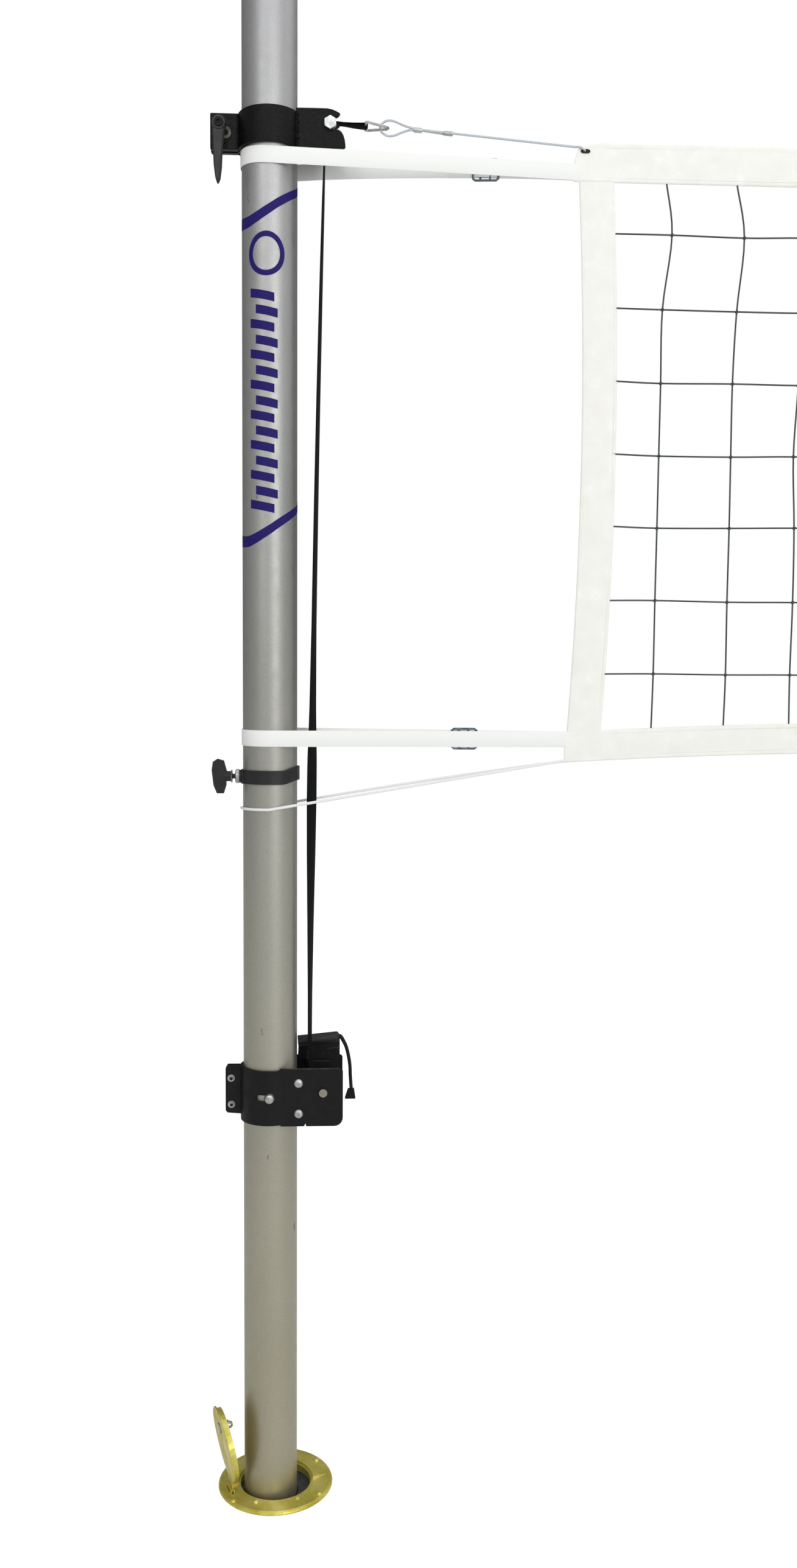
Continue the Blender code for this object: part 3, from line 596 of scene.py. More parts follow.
def teardrop(radius, tip, tip_half, turns, leg_steps):
    """A loop in plan from the net's edge round the pole and back, its straight legs in equal steps."""
    touch = acos(radius / hypot(tip, tip_half)) + atan2(tip_half, tip)
    loop = [(radius * cos(a), radius * sin(a)) for a in between(-touch, touch - 2 * pi, turns)]
    loop = [(tip, -tip_half), *loop, (tip, tip_half)]
    there, back = ([(a[0] + (b[0] - a[0]) * i / leg_steps, a[1] + (b[1] - a[1]) * i / leg_steps)
                    for i in range(leg_steps)] for a, b in (loop[:2], loop[-2:]))
    return [*there, *loop[1:-2], *back, loop[-1]]


def make_bottom_ropes():
    """A doubled rope from each lower corner of the net round its pole."""
    corner = NET_BOTTOM - CORNER_DROP + 0.004
    tip = edge_reach(corner) + 0.004
    plan = teardrop(POLE_RADIUS + 0.0024, tip, 0.001, 33, 10)
    for side, place in ENDS:
        route = []
        for x, y in plan:
            rise = max(0.0, x / tip)
            route.append(Vector((x, y, ROPE_HEIGHT + rise * (corner - ROPE_HEIGHT)
                                 + (0.0028 * sin(pi * rise) - 0.001) * (y > 0))))
        skin = Skin()
        skin.tube(route, ROPE_DIAMETER / 2, 10)
        rope = skin.save(f"{side}_rope", ROPE, "net", "white_webbing", place)
        lay_cord(rope, f"{side}_bottom_rope", place, route, ROPE_DIAMETER, "limp")


# Net

def make_mesh():
    """Knotted square mesh, hung between the tapes with a little slack in every cord."""
    rng = random.Random(7)
    spread = 2 * (HALF_SPAN - FIRST_COLUMNS[0][0]) / (COLUMNS - 1)
    heights = (NET_TOP - TOP_TAPE + 0.008, *ROWS, NET_BOTTOM + BOTTOM_TAPE - 0.01)
    knots = []
    for i in range(COLUMNS):
        column = []
        for j, height in enumerate(heights):
            x = -HALF_SPAN + FIRST_COLUMNS[0][0] + i * spread + rng.uniform(-0.0035, 0.0035)
            if i < 2:
                x = -HALF_SPAN + FIRST_COLUMNS[i][j]
            elif COLUMNS - 1 - i < 2:
                x = HALF_SPAN - FIRST_COLUMNS[COLUMNS - 1 - i][j] + rng.uniform(-0.002, 0.002)
            z = height + (rng.uniform(-0.0018, 0.0018) if 0 < j < 8 else 0.0)
            if j == 8:
                z -= corner_drop(HALF_SPAN - abs(x))
            column.append(Vector((x, rng.uniform(-0.0012, 0.0012) if 0 < j < 8 else 0.0, z)))
        knots.append(column)

    skin = Skin()
    for column in knots:
        skin.tube(smooth(column, 5), CORD_RADIUS * 0.92, 6)
    for j in range(1, 8):
        end = HALF_SPAN - edge_reach(heights[j]) - SIDE_TAPE + 0.006
        row = [Vector((-end, 0, heights[j] + 0.001)), *[column[j] for column in knots],
               Vector((end, 0, heights[j] + 0.001))]
        skin.tube(smooth(row, 4), CORD_RADIUS * 0.92, 6)
    for column in knots:
        for knot in column[1:8]:
            for lean, size in ((radians(50), 0.0024), (radians(-40), 0.0021)):
                turn = Matrix.Rotation(lean + rng.uniform(-0.2, 0.2), 3, "Y")
                ring = [knot + turn @ Vector((0.0007 * sin(2 * a), size * cos(a), size * sin(a)))
                        for a in circle(8)]
                skin.tube(ring, 0.0011, 4, closed=True)
    skin.save("knotted_mesh", NET_CORD, "net", "net_cord", Matrix(), stands_for="net_mesh")


def hemmed(width):
    """Half of a tape's section, from the rolled edge over its cord to the hem: (down, half thickness)."""
    return [(0.0, 0.0002), (0.0006, 0.0015), (0.0024, 0.002), (0.005, 0.0018), (0.0074, 0.0016),
            (0.0095, 0.0018), (width * 0.5, 0.0018), (width - 0.01, 0.0018), (width - 0.007, 0.0016),
            (width - 0.0045, 0.0018), (width - 0.0006, 0.0015), (width, 0.0003)]


def tape_ring(origin, down, profile, sway):
    out = Vector((0, 1, 0))
    front = [origin + down * d + out * (sway(d) - h) for d, h in profile]
    back = [origin + down * d + out * (sway(d) + h) for d, h in profile]
    return front + back[::-1]


def ripple(along, seed):
    """How far a long tape waves out of its plane, at each distance in from its edge."""
    return lambda d: 0.0009 * noise.noise(Vector((along * 5, d * 22, seed))) * min(d / 0.02, 1.0)


def stitches(skin, points, out, pitch=0.008):
    """Thread along a line of points, standing proud and diving into the cloth at each stitch."""
    path, carry = [], 0.0
    for a, b in zip(points, points[1:]):
        run = b - a
        while carry < run.length:
            path.append(a + run * (carry / run.length))
            carry += pitch / 2
        carry -= run.length
    skin.tube([point + out * (0.00022 if i % 2 else -0.00035) for i, point in enumerate(path)], 0.0003, 3)


def make_tapes():
    """The coated tapes along the net's four edges, each folded over a cord and sewn."""
    top_end = HALF_SPAN - NET_REACH
    xs = [-top_end + t for t in (0, 0.006, 0.018, 0.034)]
    xs += between(-top_end + 0.05, top_end - 0.05, 236)
    xs += [-x for x in xs[:4]][::-1]

    def slant(x, down):
        near = max(0.0, 1 - (top_end - abs(x)) / 0.05)
        return (-0.0015 + 0.006 * min(down / 0.03, 1.0)) * near * (-1 if x < 0 else 1)

    rings = []
    for x in xs:
        ring = tape_ring(Vector((x, 0, NET_TOP)), Vector((0, 0, -1)), hemmed(TOP_TAPE), ripple(x, 3.1))
        lift = 0.0005 * noise.noise(Vector((x * 3, 0, 8.0)))
        dip = 0.009 * max(0.0, 1 - (top_end - abs(x)) / 0.04) ** 1.5
        rings.append([point + Vector((slant(x, NET_TOP - point.z), 0,
                                      lift - dip * max(0.0, 1 - (NET_TOP - point.z) / 0.035)))
                      for point in ring])
    skin = Skin()
    skin.loft(rings)
    band = skin.save("top_band", VINYL, "net", "white_vinyl", Matrix(), 60, stands_for="top_tape")

    low_reach = edge_reach(NET_BOTTOM - CORNER_DROP)
    bottom_end = HALF_SPAN - low_reach
    rings, lower_line = [], []
    for x in between(-bottom_end, bottom_end, 240):
        base = NET_BOTTOM - corner_drop(HALF_SPAN - abs(x))
        lower_line.append(Vector((x, 0, base)))
        rings.append(tape_ring(lower_line[-1], Vector((0, 0, 1)), hemmed(BOTTOM_TAPE), ripple(x, 6.7)))
    skin = Skin()
    skin.loft(rings)
    foot = skin.save("bottom_band", VINYL, "net", "white_vinyl", Matrix(), 60, stands_for="bottom_tape")

    thread = Skin()
    for out in (-1, 1):
        face = Vector((0, out * 0.0015, 0))
        for down in (0.0074, TOP_TAPE - 0.007):
            ends = [Vector((x, out * 0.0016, NET_TOP - down)) for x in (-top_end + 0.045, top_end - 0.045)]
            stitches(thread, ends, Vector((0, out, 0)))
        for up in (0.0074, BOTTOM_TAPE - 0.007):
            line = [point + face * 1.07 + Vector((0, 0, up)) for point in lower_line]
            stitches(thread, line, Vector((0, out, 0)))

    ladder = between(NET_BOTTOM - CORNER_DROP + 0.004, NET_TOP - 0.012, 40)
    half = [(0.0, 0.0003), (0.0007, 0.0013), (0.004, 0.0016), (0.005, 0.0014), (0.0062, 0.0016)]
    flat = [*half, (SIDE_TAPE / 2, 0.0017), *[(SIDE_TAPE - across, thick) for across, thick in half[::-1]]]
    for side, place in ENDS:
        rings = []
        for z in ladder:
            rings.append(tape_ring(Vector((edge_reach(z), 0, z)), Vector((1, 0, 0)), flat,
                                   lambda d: 0.0007 * noise.noise(Vector((d * 20, z * 7, 1.7)))))
        skin = Skin()
        skin.loft(rings)
        strip = skin.save(f"{side}_side_band", VINYL, "net", "white_vinyl", place, 60,
                          stands_for=f"{side}_side_tape")
        for out in (-1, 1):
            for across in (0.005, SIDE_TAPE - 0.005):
                line = [place @ Vector((edge_reach(z) + across, out * 0.0014, z)) for z in ladder
                        if NET_BOTTOM + 0.04 < z < NET_TOP - TOP_TAPE]
                stitches(thread, line, place.to_3x3() @ Vector((0, out, 0)))
    thread.save("tape_stitching", THREAD, "net", "white_vinyl", Matrix())


def make_corner_eyelets():
    """A dark slot eyelet at each top corner of the net, where the cable goes in."""
    for side, place in ENDS:
        skin = Skin()
        for out in (-1, 1):
            centre = Vector((0.509, out * 0.0022, 2.2262))
            ring = [centre + Vector((0.0046 * cos(a) + 0.0026 * (1 if cos(a) > 0 else -1), 0, 0.0026 * sin(a)))
                    for a in circle(20)]
            skin.tube(ring, 0.0008, 8, closed=True)
            skin.slab([(0.0068 * cos(a), 0.0024 * sin(a)) for a in circle(16)], -0.0003, 0.0003,
                      facing(centre.x, out * 0.002, centre.z))
        skin.save(f"{side}_top_eyelet", RUBBER, "net", "bare_steel", place)


def make_side_straps():
    """Webbing loops that pull the net's edge towards the pole, each drawn up by a ladder buckle."""
    for name, middle, buckle in (("upper", UPPER_STRAP, 0.349), ("lower", LOWER_STRAP, 0.322)):
        edge = edge_reach(middle)
        rises, tilt = {"upper": ((0.0, 0.0, -0.0015), 0.06), "lower": ((0.0025, 0.0014, 0.0), 0.035)}[name]
        front = [(edge + 0.008 - 0.004 * i, -0.0006 - 0.0003 * i) for i in range(2)]
        plan = [*front, *teardrop(POLE_RADIUS + 0.0013, edge, 0.0012, 43, 12)[:-1],
                *[(x, -y) for x, y in front[::-1]]]
        lean = atan2(STRAP_OUT - 0.0012, edge)

        def height(x, y):
            along = min(max(x / edge, 0.0), 1.0)
            flat = middle + tilt * y
            flat += rises[0] * (1 - along) ** 2 + rises[1] * 2 * along * (1 - along) + rises[2] * along ** 2
            if name == "lower":
                return flat
            if x < CLEAR_OF_COLLAR:
                return min(flat + 0.0028 * max(0.0, -x / STRAP_OUT), UPPER_STRAP_LIMIT)
            past = min((x - CLEAR_OF_COLLAR) / (edge - CLEAR_OF_COLLAR), 1.0)
            return flat + (0.0045 * sin(pi * past) ** 0.6 if y > 0 else 0.0)

        for side, place in ENDS:
            path, widths = [], []
            for x, y in plan:
                path.append(Vector((x, y, height(x, y))))
                widths.append(Vector((0, 0.02 * noise.noise(Vector((x * 14, y * 30, middle))), 1)))
            skin = Skin()
            skin.ribbon(path, widths, 0.0262, 0.0015)
            skin.save(f"{side}_{name}_webbing", WHITE_WEBBING, "net", "white_webbing", place, 60,
                      stands_for=f"{side}_{name}_strap")

            outer = STRAP_OUT - (STRAP_OUT - 0.0012) * buckle / edge
            turn = Matrix.Translation((buckle, outer, height(buckle, outer) - 0.0012))
            turn = turn @ Matrix.Rotation(-lean, 4, "Z")
            tab = [(-0.058, 0.0018), (-0.03, 0.0018), (-0.02, 0.0026), (-0.012, 0.0052), (-0.004, 0.0058),
                   (0.003, 0.005), (0.011, 0.0024), (0.03, 0.0018), (0.06, 0.0018)]
            points = [turn @ p for p in smooth([Vector((x, -y, 0)) for x, y in tab], 4)]
            skin = Skin()
            skin.ribbon(points, [Vector((0, 0, 1))] * len(points), 0.024, 0.0013)
            skin.save(f"{side}_{name}_strap_tail", WHITE_WEBBING, "net", "white_webbing", place, 60)

            skin = Skin()
            half_run, half_rise = 0.0205, 0.0165
            frame_line = [(half_run * (1 if cos(a) > 0 else -1) * min(1, abs(cos(a)) * 1.3), -0.003,
                           half_rise * (1 if sin(a) > 0 else -1) * min(1, abs(sin(a)) * 1.3))
                          for a in (2 * pi * (k + 0.5) / 32 for k in range(32))]
            skin.tube([turn @ Vector(point) for point in frame_line], 0.0019, 8, closed=True)
            for x, y in ((-0.0085, -0.0034), (0.007, -0.0034)):
                skin.tube([turn @ Vector((x, y, z)) for z in (-half_rise, -0.005, 0.005, half_rise)], 0.0017, 8)
            skin.save(f"{side}_{name}_ladder_buckle", BUCKLE, "net", "zinc", place,
                      stands_for=f"{side}_{name}_buckle")


# Pole and its fittings

def make_print():
    """Plain printed shapes on the poles: two swept stripes, a ring and a column of slanted bars."""
    rise = ((-96, 0.0055), (-90, 0.004), (-67, 0.0005), (-45, 0.0), (-26, 0.005), (-11, 0.0113), (4, 0.0186),
            (18.5, 0.0268), (34, 0.0348), (54, 0.0445), (75, 0.053), (90, 0.06), (96, 0.062))
    sweep = smooth([(angle, z * 1000, 0) for angle, z in rise], 3)

    def on_pole(angle, height, lift):
        radius = POLE_RADIUS + lift
        return (radius * sin(radians(angle)), -radius * cos(radians(angle)), height)

    def patch(skin, edges, closed=False):
        skin.loft([[on_pole(*low, 0.00005), on_pole(*high, 0.00005), on_pole(*high, 0.00024),
                    on_pole(*low, 0.00024)]
                   for low, high in edges], closed)

    for side, place in ENDS:
        skin = Skin()
        for base in (2.0925, 1.5924):
            patch(skin, [((p.x, base + p.y / 1000 - (0.0094 - 0.0000165 * (p.x + 90))),
                          (p.x, base + p.y / 1000 + (0.0094 - 0.0000165 * (p.x + 90)))) for p in sweep])
        centre, degrees = (-5, 2.041), 1 / (POLE_RADIUS * pi / 180)
        patch(skin, [((centre[0] + 0.0225 * degrees * cos(a), centre[1] + 0.026 * sin(a)),
                      (centre[0] + 0.0305 * degrees * cos(a), centre[1] + 0.0345 * sin(a)))
                     for a in circle(40)], True)
        for k in range(15):
            low = 1.638 + k * 0.0236
            left, right = ((-40, 12), (-27, 19))[k % 2]
            patch(skin, [((angle, low - 0.00016 * angle), (angle, low + 0.0138 - 0.00016 * angle))
                         for angle in between(left, right, 8)])
        skin.save(f"{side}_pole_print", NAVY, f"{side}_pole", "aluminium", place)


def make_tension_strap():
    """The winch strap: edge-on at the drum and the roller, and twisted a little on its way up."""
    low = Vector((DRUM_AXIS[0] - 0.0226, 0, DRUM_AXIS[1]))
    high = Vector((HEAD_BOLT[0] - 0.0078, 0, HEAD_BOLT[1] - 0.0003))
    twist = ((0.694, 0), (0.73, 5), (0.765, 12), (0.85, 14), (0.97, 22), (1.08, 32), (1.18, 38), (1.24, 36),
             (1.32, 24), (1.46, 16), (1.7, 13), (1.95, 10), (2.138, 6), (2.21, 2), (2.25, 0))
    path, widths = [], []
    for i in range(97):
        t = i / 96
        point = low.lerp(high, t)
        point.x -= 0.0055 * max(sin(pi * t), 0.0) ** 0.8
        for (z0, a0), (z1, a1) in zip(twist, twist[1:]):
            if z0 <= point.z + 1e-6 <= z1 + 1e-3:
                angle = radians(a0 + (a1 - a0) * (point.z - z0) / (z1 - z0))
        path.append(point)
        widths.append(Vector((sin(angle), cos(angle), 0)))
    skin = Skin()
    skin.ribbon(path, widths, WEBBING_WIDTH, WEBBING_THICKNESS)
    strap = skin.save("winch_webbing", BLACK_WEBBING, None, "black_webbing", LEFT, 60,
                      stands_for="tension_strap")
    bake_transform(strap)

    over = arc(HEAD_BOLT, 0.0078, 180, -90, 10)
    bend = arc(HOOK_BAR, 0.0028, 100, -190, 10)
    path = [*over, (0.102, 2.2598), (0.108, 2.2606), (0.118, 2.2602), (0.133, 2.26), (0.145, 2.2599), *bend,
            (0.145, 2.2545), (0.133, 2.2556), (0.12, 2.2578), (0.112, 2.2586)]
    width = [WEBBING_WIDTH] * 11 + [0.02, 0.013, 0.01, 0.0095, 0.011]
    width += [0.013] * 11 + [0.011, 0.0095, 0.01, 0.011]
    skin = Skin()
    skin.ribbon([Vector((a, 0, b)) for a, b in path], [Vector((0, 1, 0))] * len(path), width, WEBBING_THICKNESS)
    skin.save("hook_webbing", BLACK_WEBBING, "net", "black_webbing", LEFT, 60, stands_for="strap_end")

    turns, per_turn = 5.5, 28
    count = int(turns * per_turn)
    spiral = []
    for i in range(count + 1):
        angle = pi + 2 * pi * (count - i) / per_turn
        radius = 0.0226 - 0.0021 * (count - i) / per_turn
        spiral.append(Vector((DRUM_AXIS[0] + radius * cos(angle), 0, DRUM_AXIS[1] + radius * sin(angle))))
    skin = Skin()
    skin.ribbon(spiral, [Vector((0, 1, 0))] * len(spiral), WEBBING_WIDTH, WEBBING_THICKNESS)
    skin.save("wound_webbing", BLACK_WEBBING, "winch_drum", "black_webbing", LEFT, 60,
              stands_for="strap_winding")


def make_poles():
    """The pole tubes, drawn rounder than the CAD's."""
    for side, place in ENDS:
        skin = Skin()
        inner, eased = POLE_RADIUS - POLE_WALL, POLE_RADIUS - 0.0006
        skin.ring([(inner, POLE_FOOT), (eased, POLE_FOOT), (POLE_RADIUS, POLE_FOOT + 0.0006),
                   (POLE_RADIUS, 1.0), (POLE_RADIUS, POLE_TOP - 0.0006), (eased, POLE_TOP), (inner, POLE_TOP)], 128)
        skin.save(f"{side}_tube", ALUMINIUM, f"{side}_pole", "aluminium", place, stands_for=f"{side}_pole")


def socket_screw(skin, socket_shade_and_ring, place, radius, height, hexagon):
    """A cap screw's head, and a dark hexagon a little proud of it at its socket: painted shade for the socket's
    hollow.
    """
    skin.lathe([(0, 0), (radius, 0), (radius, height * 0.82), (radius * 0.86, height), (0, height)], 24, place)
    floor, brim = height * 0.5, height + 0.00015
    # The dark hexagon is painted shade where the socket's hollow would be.
    socket_shade_and_ring.lathe([(0, floor), (hexagon, floor), (hexagon, brim), (0, brim)], 6, place)


def dome_screw(skin, place, radius, height):
    skin.lathe([(0, 0), (radius * 0.96, 0), (radius, height * 0.25), (radius * 0.86, height * 0.66),
                (radius * 0.55, height * 0.93), (radius * 0.3, height), (radius * 0.24, height * 0.7),
                (0, height * 0.6)], 24, place)


def make_winch_screws():
    skin, socket_shade_and_ring = Skin(), Skin()
    for x, z in ((-0.065, 0.7087), (-0.0645, 0.6643)):
        skin.lathe([(0.003, 0), (0.006, 0), (0.006, 0.001), (0.003, 0.001)], 24, facing(x, -0.0065, z))
        socket_screw(skin, socket_shade_and_ring, facing(x + 0.0004, -0.0075, z + 0.0004), 0.0046, 0.0046, 0.003)
        skin.lathe([(0, 0), (0.006, 0), (0.006, 0.001), (0, 0.001)], 24, facing(x, 0.0065, z, "+Y"))
        skin.lathe([(0, 0.001), (0.0052, 0.001), (0.0052, 0.0052), (0.003, 0.0058), (0, 0.0058)], 6,
                   facing(x, 0.0065, z, "+Y"))
    for x, z in ((0.048, 0.7098), (0.048, 0.659)):
        dome_screw(skin, facing(x, -0.0455, z), 0.0073, 0.0036)
        dome_screw(skin, facing(x, 0.0455, z, "+Y"), 0.0073, 0.0036)
    skin.save("winch_screws", ZINC, "left_pole", "zinc", LEFT)
    socket_shade_and_ring.ring([(0.0074, 0.0), (0.0086, 0.0), (0.0086, 0.0009), (0.0074, 0.0009)], 28,
                facing(DRUM_AXIS[0], -0.0457, DRUM_AXIS[1]))
    # One dark piece: the painted shade in the screw sockets, and the drum's retaining ring.
    socket_shade_and_ring.save("winch_socket_shade_and_ring", WINCH_COAT, "left_pole", "black_coat", LEFT)


def make_winch_handle_parts():
    """The curved bail with its stop, the web that carries the grip, and thin steel-grey lines on the handle's and
    brackets' edges, partly wear and partly painted highlight where the edges catch the light.
    """
    skin = Skin()
    bail = smooth([(0.112, 0.03, 0.7672), (0.1165, 0.03, 0.769), (0.1215, 0.03, 0.762), (0.1279, 0.03, 0.7474),
                   (0.1329, 0.03, 0.7223), (0.1341, 0.03, 0.6999), (0.1358, 0.03, 0.676)], 6)
    skin.ribbon(bail, [Vector((0, 1, 0))] * len(bail), 0.011, 0.0058)
    skin.plate([(0.125, 0.662), (0.1428, 0.662), (0.1405, 0.678), (0.13, 0.6775)], 0.0235, 0.0365, 0.0008)
    skin.save("bail_and_stop", WINCH_COAT, "winch_handle", "black_coat", LEFT, 40, stands_for="handle_bail")

    skin = Skin()
    skin.plate([(0.045, 0.731), (0.116, 0.731), (0.116, 0.764), (0.0462, 0.759)], 0.0262, 0.0338, 0.0006)
    skin.save("grip_web", WINCH_COAT, "winch_handle", "black_coat", LEFT, 40)

    skin = Skin()
    # Lines and specks on the handle's edges: partly wear, partly painted highlight.
    for start, end in (((0.0704, 0.7275), (0.0995, 0.7273)), ((0.0617, 0.7456), (0.0617, 0.73)),
                       ((0.0868, 0.7404), (0.0885, 0.7404)), ((0.0972, 0.7403), (0.0985, 0.7403)),
                       ((0.095, 0.7487), (0.1155, 0.7507))):
        edge = zip(between(start[0], end[0], 4), between(start[1], end[1], 4))
        skin.tube([(x, 0.0259, z) for x, z in edge], [0.0002, 0.0004, 0.0003, 0.0004, 0.0002], 6)
    skin.save("handle_wear_and_painted_highlight", WORN_STEEL_AND_HIGHLIGHT, "winch_handle", "black_coat", LEFT)

    skin = Skin()
    # Lines along the brackets' top edges: partly wear, partly painted highlight.
    for y, reach in ((-0.0453, 0.114), (-0.0417, 0.114), (0.0417, 0.114), (0.0453, 0.114)):
        skin.tube([(x, y, 0.7337) for x in between(0.026, reach, 12)],
                  [0.00012 + 0.00016 * abs(sin(i * 2.3)) for i in range(13)], 6)
    skin.save("bracket_wear_and_painted_highlight", WORN_STEEL_AND_HIGHLIGHT, "left_pole", "black_coat", LEFT)


def make_top_collars():
    """The clamped top collars: a band, two claw-ended cheeks, a split ear and the welds between them."""
    slot = arc(HEAD_BOLT, 0.0058, 62, 236, 20)
    claw = [(0.0425, 2.213), (0.0425, 2.2735), (0.07, 2.2738), (0.093, 2.2737), (0.0995, 2.2724), (0.106, 2.27),
            (0.1118, 2.2668), (0.1126, 2.2652), (0.1105, 2.2622), (0.105, 2.2585), *slot, (0.103, 2.2412),
            (0.1065, 2.2419), (0.1105, 2.2411), (0.1145, 2.2382), (0.1175, 2.2335), (0.1197, 2.227),
            (0.1208, 2.22), (0.1211, 2.215), (0.1203, 2.2134), (0.1185, 2.213)]
    ear = [(-0.047, 2.211), (-0.047, 2.267), (-0.0915, 2.267), (-0.093, 2.2664), (-0.0935, 2.265),
           (-0.0935, 2.213), (-0.093, 2.2116), (-0.0915, 2.211)]
    for side, place in ENDS:
        rng = random.Random(11)
        skin = Skin()
        skin.hoop(COLLAR_BORE, 0.0505, 2.211, 2.267)
        for near, far in ((-0.0235, -0.0185), (0.0185, 0.0235)):
            skin.plate(claw, near, far, 0.0007)
        for near, far in ((-0.0115, -0.0025), (0.0025, 0.0115)):
            skin.plate(ear, near, far, 0.0008)
        for y in (-0.0262, 0.0262):
            for k in range(34):
                z = 2.214 + 0.052 * k / 33
                size = 0.0018 + rng.uniform(-0.0005, 0.0007)
                skin.lathe([(0, -size), (size, -size * 0.4), (size, size * 0.4), (0, size)], 8,
                           Matrix.Translation((0.0438 + rng.uniform(-0.0012, 0.0016), y, z)))
        for y in (-0.0118, 0.0118):
            skin.tube([(-0.05 + rng.uniform(-0.0005, 0.0005), y, 2.2125 + 0.053 * i / 30) for i in range(31)],
                      [0.0016 + 0.0005 * abs(sin(i * 1.9)) for i in range(31)], 8)
        skin.save(f"{side}_claw_collar", POWDER, COLLARS[side], "black_coat", place, 40,
                  stands_for=f"{side}_top_collar")

        skin = Skin()
        skin.ring([(0.005, 0.0), (0.0097, 0.0), (0.0097, 0.0007), (0.0088, 0.0012), (0.005, 0.0006)], 32,
                  facing(-0.0702, -0.0116, 2.2372))
        skin.save(f"{side}_ear_washer", WORN_STEEL_AND_HIGHLIGHT, COLLARS[side], "zinc", place)


def make_levers():
    """The tapered clamp levers with their hubs."""
    x, z = LEVER_PIVOT
    hub = [(x + 0.0114 * cos(a), z + 0.011 * sin(a)) for a in (radians(-28 + 236 * k / 18) for k in range(19))]
    blade = [*hub, (-0.0893, 2.23), (-0.088, 2.2053), (-0.087, 2.182), (-0.0848, 2.164), (-0.0826, 2.157),
             (-0.0808, 2.1545), (-0.079, 2.1565), (-0.0766, 2.1625), (-0.0744, 2.18), (-0.0732, 2.2053),
             (-0.0706, 2.23)]
    for side, place in ENDS:
        skin = Skin()
        skin.plate(blade, -0.0275, -0.015, 0.0022)
        skin.lathe([(0, 0.0), (0.0108, 0.0), (0.0112, 0.001), (0.0112, 0.0155), (0.01, 0.017), (0.0074, 0.017),
                    (0.007, 0.0155), (0, 0.0155)], 32, facing(x, -0.012, z))
        skin.save(f"{side}_tapered_lever", GREY_PLASTIC, f"{side}_clamp_lever", "grey_plastic", place, 40,
                  stands_for=f"{side}_clamp_lever")


def make_lower_collars():
    """The thin lower collars, with the boss and washer their knobs screw into."""
    def lift(x):
        t = min(max((x - 0.45) / 0.55, 0.0), 1.0)
        return 0.0062 * t * t * (3 - 2 * t)

    for side, place in ENDS:
        skin = Skin()
        skin.hoop(COLLAR_BORE, 0.0485, 1.2012, 1.2238, lift)
        skin.lathe([(0, 0.0), (0.0105, 0.0), (0.0105, 0.0085), (0.0092, 0.01), (0, 0.01)], 28,
                   facing(-0.047, 0, KNOB_HEIGHT, "-X"))
        skin.save(f"{side}_lower_band", BLACK_PLASTIC, COLLARS[side], "black_coat", place, 40,
                  stands_for=f"{side}_lower_collar")
        skin = Skin()
        skin.lathe([(0.007, 0.0), (0.0108, 0.0), (0.0112, 0.0006), (0.0108, 0.0012), (0.007, 0.001),
                    (0.007, 0.0)], 28, facing(-0.0622, 0, KNOB_HEIGHT, "-X"))
        skin.lathe([(0.01, 0.0), (0.0114, 0.0006), (0.0116, 0.004), (0.0114, 0.006), (0.01, 0.0065)], 28,
                   facing(-0.0565, 0, KNOB_HEIGHT, "+X"))
        skin.save(f"{side}_knob_washers", ZINC, COLLARS[side], "zinc", place)


def make_floor_details():
    """Screws through the floor plate, the wedge that keeps the lid shut, and the lock's brass tip."""
    for side, place in ENDS:
        skin = Skin()
        for x, y in ((-0.06, -0.0546), (-0.0223, -0.0585), (0.0462, -0.0509), (0.0825, -0.0395),
                     (0.0765, 0.059), (0.006, 0.089), (-0.065, 0.0508)):
            skin.lathe([(0, -0.0004), (0.0052, -0.0004), (0.0046, 0.0008), (0.004, 0.0022), (0.0026, 0.0031),
                        (0, 0.0034)], 20, facing(x, y, PLATE_TOP, "+Z"))
        base = [(0.0712, -0.002), (0.072, 0.015), (0.094, 0.0178), (0.0945, 0.0168)]
        crest = [(0.0716, 0.002), (0.0722, 0.013), (0.093, 0.0175), (0.0932, 0.017)]
        skin.loft([[(x, y, PLATE_TOP - 0.0004) for x, y in base],
                   [(x, y, PLATE_TOP + (0.0048 if x < 0.08 else 0.0006)) for x, y in crest]])
        skin.save(f"{side}_plate_screws", BRASS, "floor_sockets", "brass", place)

        lid = (Matrix.Translation((*PLATE_CENTRE, LID_HEIGHT)) @ Matrix.Rotation(LID_TURN, 4, "Z")
               @ Matrix.Translation((-LID_REACH, 0, 0)) @ Matrix.Rotation(-LID_LEAN, 4, "Y"))
        skin = Skin()
        skin.lathe([(0, -0.02), (0.0047, -0.02), (0.0047, -0.0215), (0.0036, -0.0228), (0, -0.0232)], 20,
                   lid @ Matrix.Translation((LID_REACH + 0.03, 0, 0)))
        skin.save(f"{side}_lock_tip", BRASS, f"{side}_lid_lock", "brass", place)


# Stage

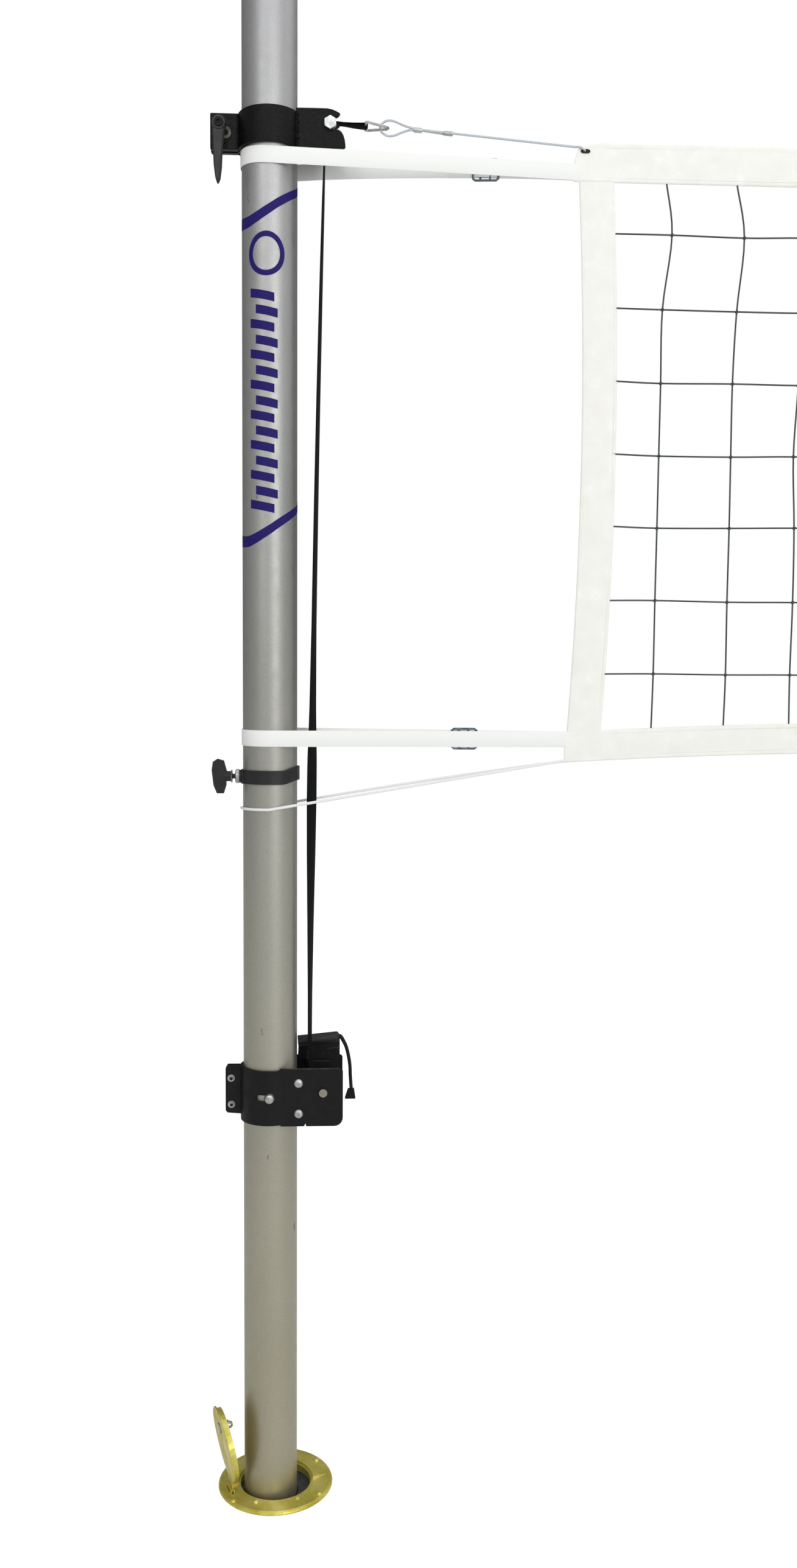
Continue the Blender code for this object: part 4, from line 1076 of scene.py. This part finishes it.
def make_stage():
    """A pale floor with a hole for each socket, soft light from the front and a white surround."""
    curve = bpy.data.curves.new("floor", "CURVE")
    curve.dimensions = "2D"
    curve.fill_mode = "BOTH"
    outlines = [[(-40, -40), (40, -40), (40, 40), (-40, 40)]]
    for end in (-1, 1):
        x, y = end * (HALF_SPAN - PLATE_CENTRE[0]), -end * PLATE_CENTRE[1]
        outlines.append([(x + 0.086 * cos(a), y + 0.086 * sin(a)) for a in circle(48)])
    for outline in outlines:
        spline = curve.splines.new("POLY")
        spline.points.add(len(outline) - 1)
        for point, (x, y) in zip(spline.points, outline):
            point.co = (x, y, 0, 1)
        spline.use_cyclic_u = True
    shape = bpy.data.objects.new("floor_outline", curve)
    bpy.context.scene.collection.objects.link(shape)
    bpy.context.view_layer.update()
    mesh = bpy.data.meshes.new_from_object(shape.evaluated_get(bpy.context.evaluated_depsgraph_get()))
    bpy.data.objects.remove(shape, do_unlink=True)
    floor = bpy.data.objects.new("floor", mesh)
    bpy.context.scene.collection.objects.link(floor)
    look = Look("pale_floor", roughness=0.9, Specular_IOR_Level=0.1, Emission_Color=(1, 1, 1, 1))
    look.colour(look.ramp(look.noise(3, 2.0), (0.3, (0.44, 0.44, 0.44)), (0.7, (0.46, 0.46, 0.46))))
    glow = look.level(look.node("LightPath").outputs["Is Camera Ray"], 0, 1, 0.36, 0.85)
    look.tree.links.new(glow, look.shader.inputs["Emission Strength"])
    mesh.materials.clear()
    mesh.materials.append(look.material)

    world = bpy.data.worlds.new("studio")
    bpy.context.scene.world = world
    world.use_nodes = True
    sky = Nodes(world.node_tree)
    turned = sky.node("VectorMath", {0: sky.node("TexCoord").outputs["Generated"], 1: (0.25, -0.97, 0.0)},
                      operation="DOT_PRODUCT").outputs["Value"]
    seen = sky.node("LightPath").outputs["Is Camera Ray"]
    colour = sky.mix(seen, sky.level(turned, -1.0, 1.0, 0.16, 0.62), (1.0, 1.0, 1.0))
    sky.tree.links.new(colour, sky.tree.nodes["Background"].inputs["Color"])

    def panel(name, place, aim, width, height, watts):
        light = bpy.data.lights.new(name, "AREA")
        light.shape = "RECTANGLE"
        light.size, light.size_y = width, height
        light.energy = watts
        lamp = bpy.data.objects.new(name, light)
        bpy.context.scene.collection.objects.link(lamp)
        lamp.location = place
        lamp.rotation_euler = (Vector(aim) - Vector(place)).to_track_quat("-Z", "Y").to_euler()

    panel("key", (-7.6, -4.4, 3.6), (-5.0, 0, 1.4), 2.0, 3.4, 36)
    panel("fill", (-2.2, -6.0, 3.0), (-4.5, 0, 1.2), 3.4, 3.4, 122)
    panel("strip", (-5.11, -2.5, 3.25), (-5.25, 0, 2.24), 0.05, 0.6, 4.2)
    panel("faint_strip", (-6.13, -2.34, 3.25), (-5.25, 0, 2.24), 0.05, 0.6, 1.9)
    panel("top", (0.0, 0.0, 6.5), (0, 0, 0), 14.0, 6.0, 220)
    bpy.context.scene.view_settings.view_transform = "Standard"


make_camera()
make_net_cables()
make_bottom_ropes()
make_mesh()
make_tapes()
make_corner_eyelets()
make_side_straps()
make_print()
make_tension_strap()
make_poles()
make_winch_screws()
make_winch_handle_parts()
make_top_collars()
make_levers()
make_lower_collars()
make_floor_details()
finish_cad()
make_stage()
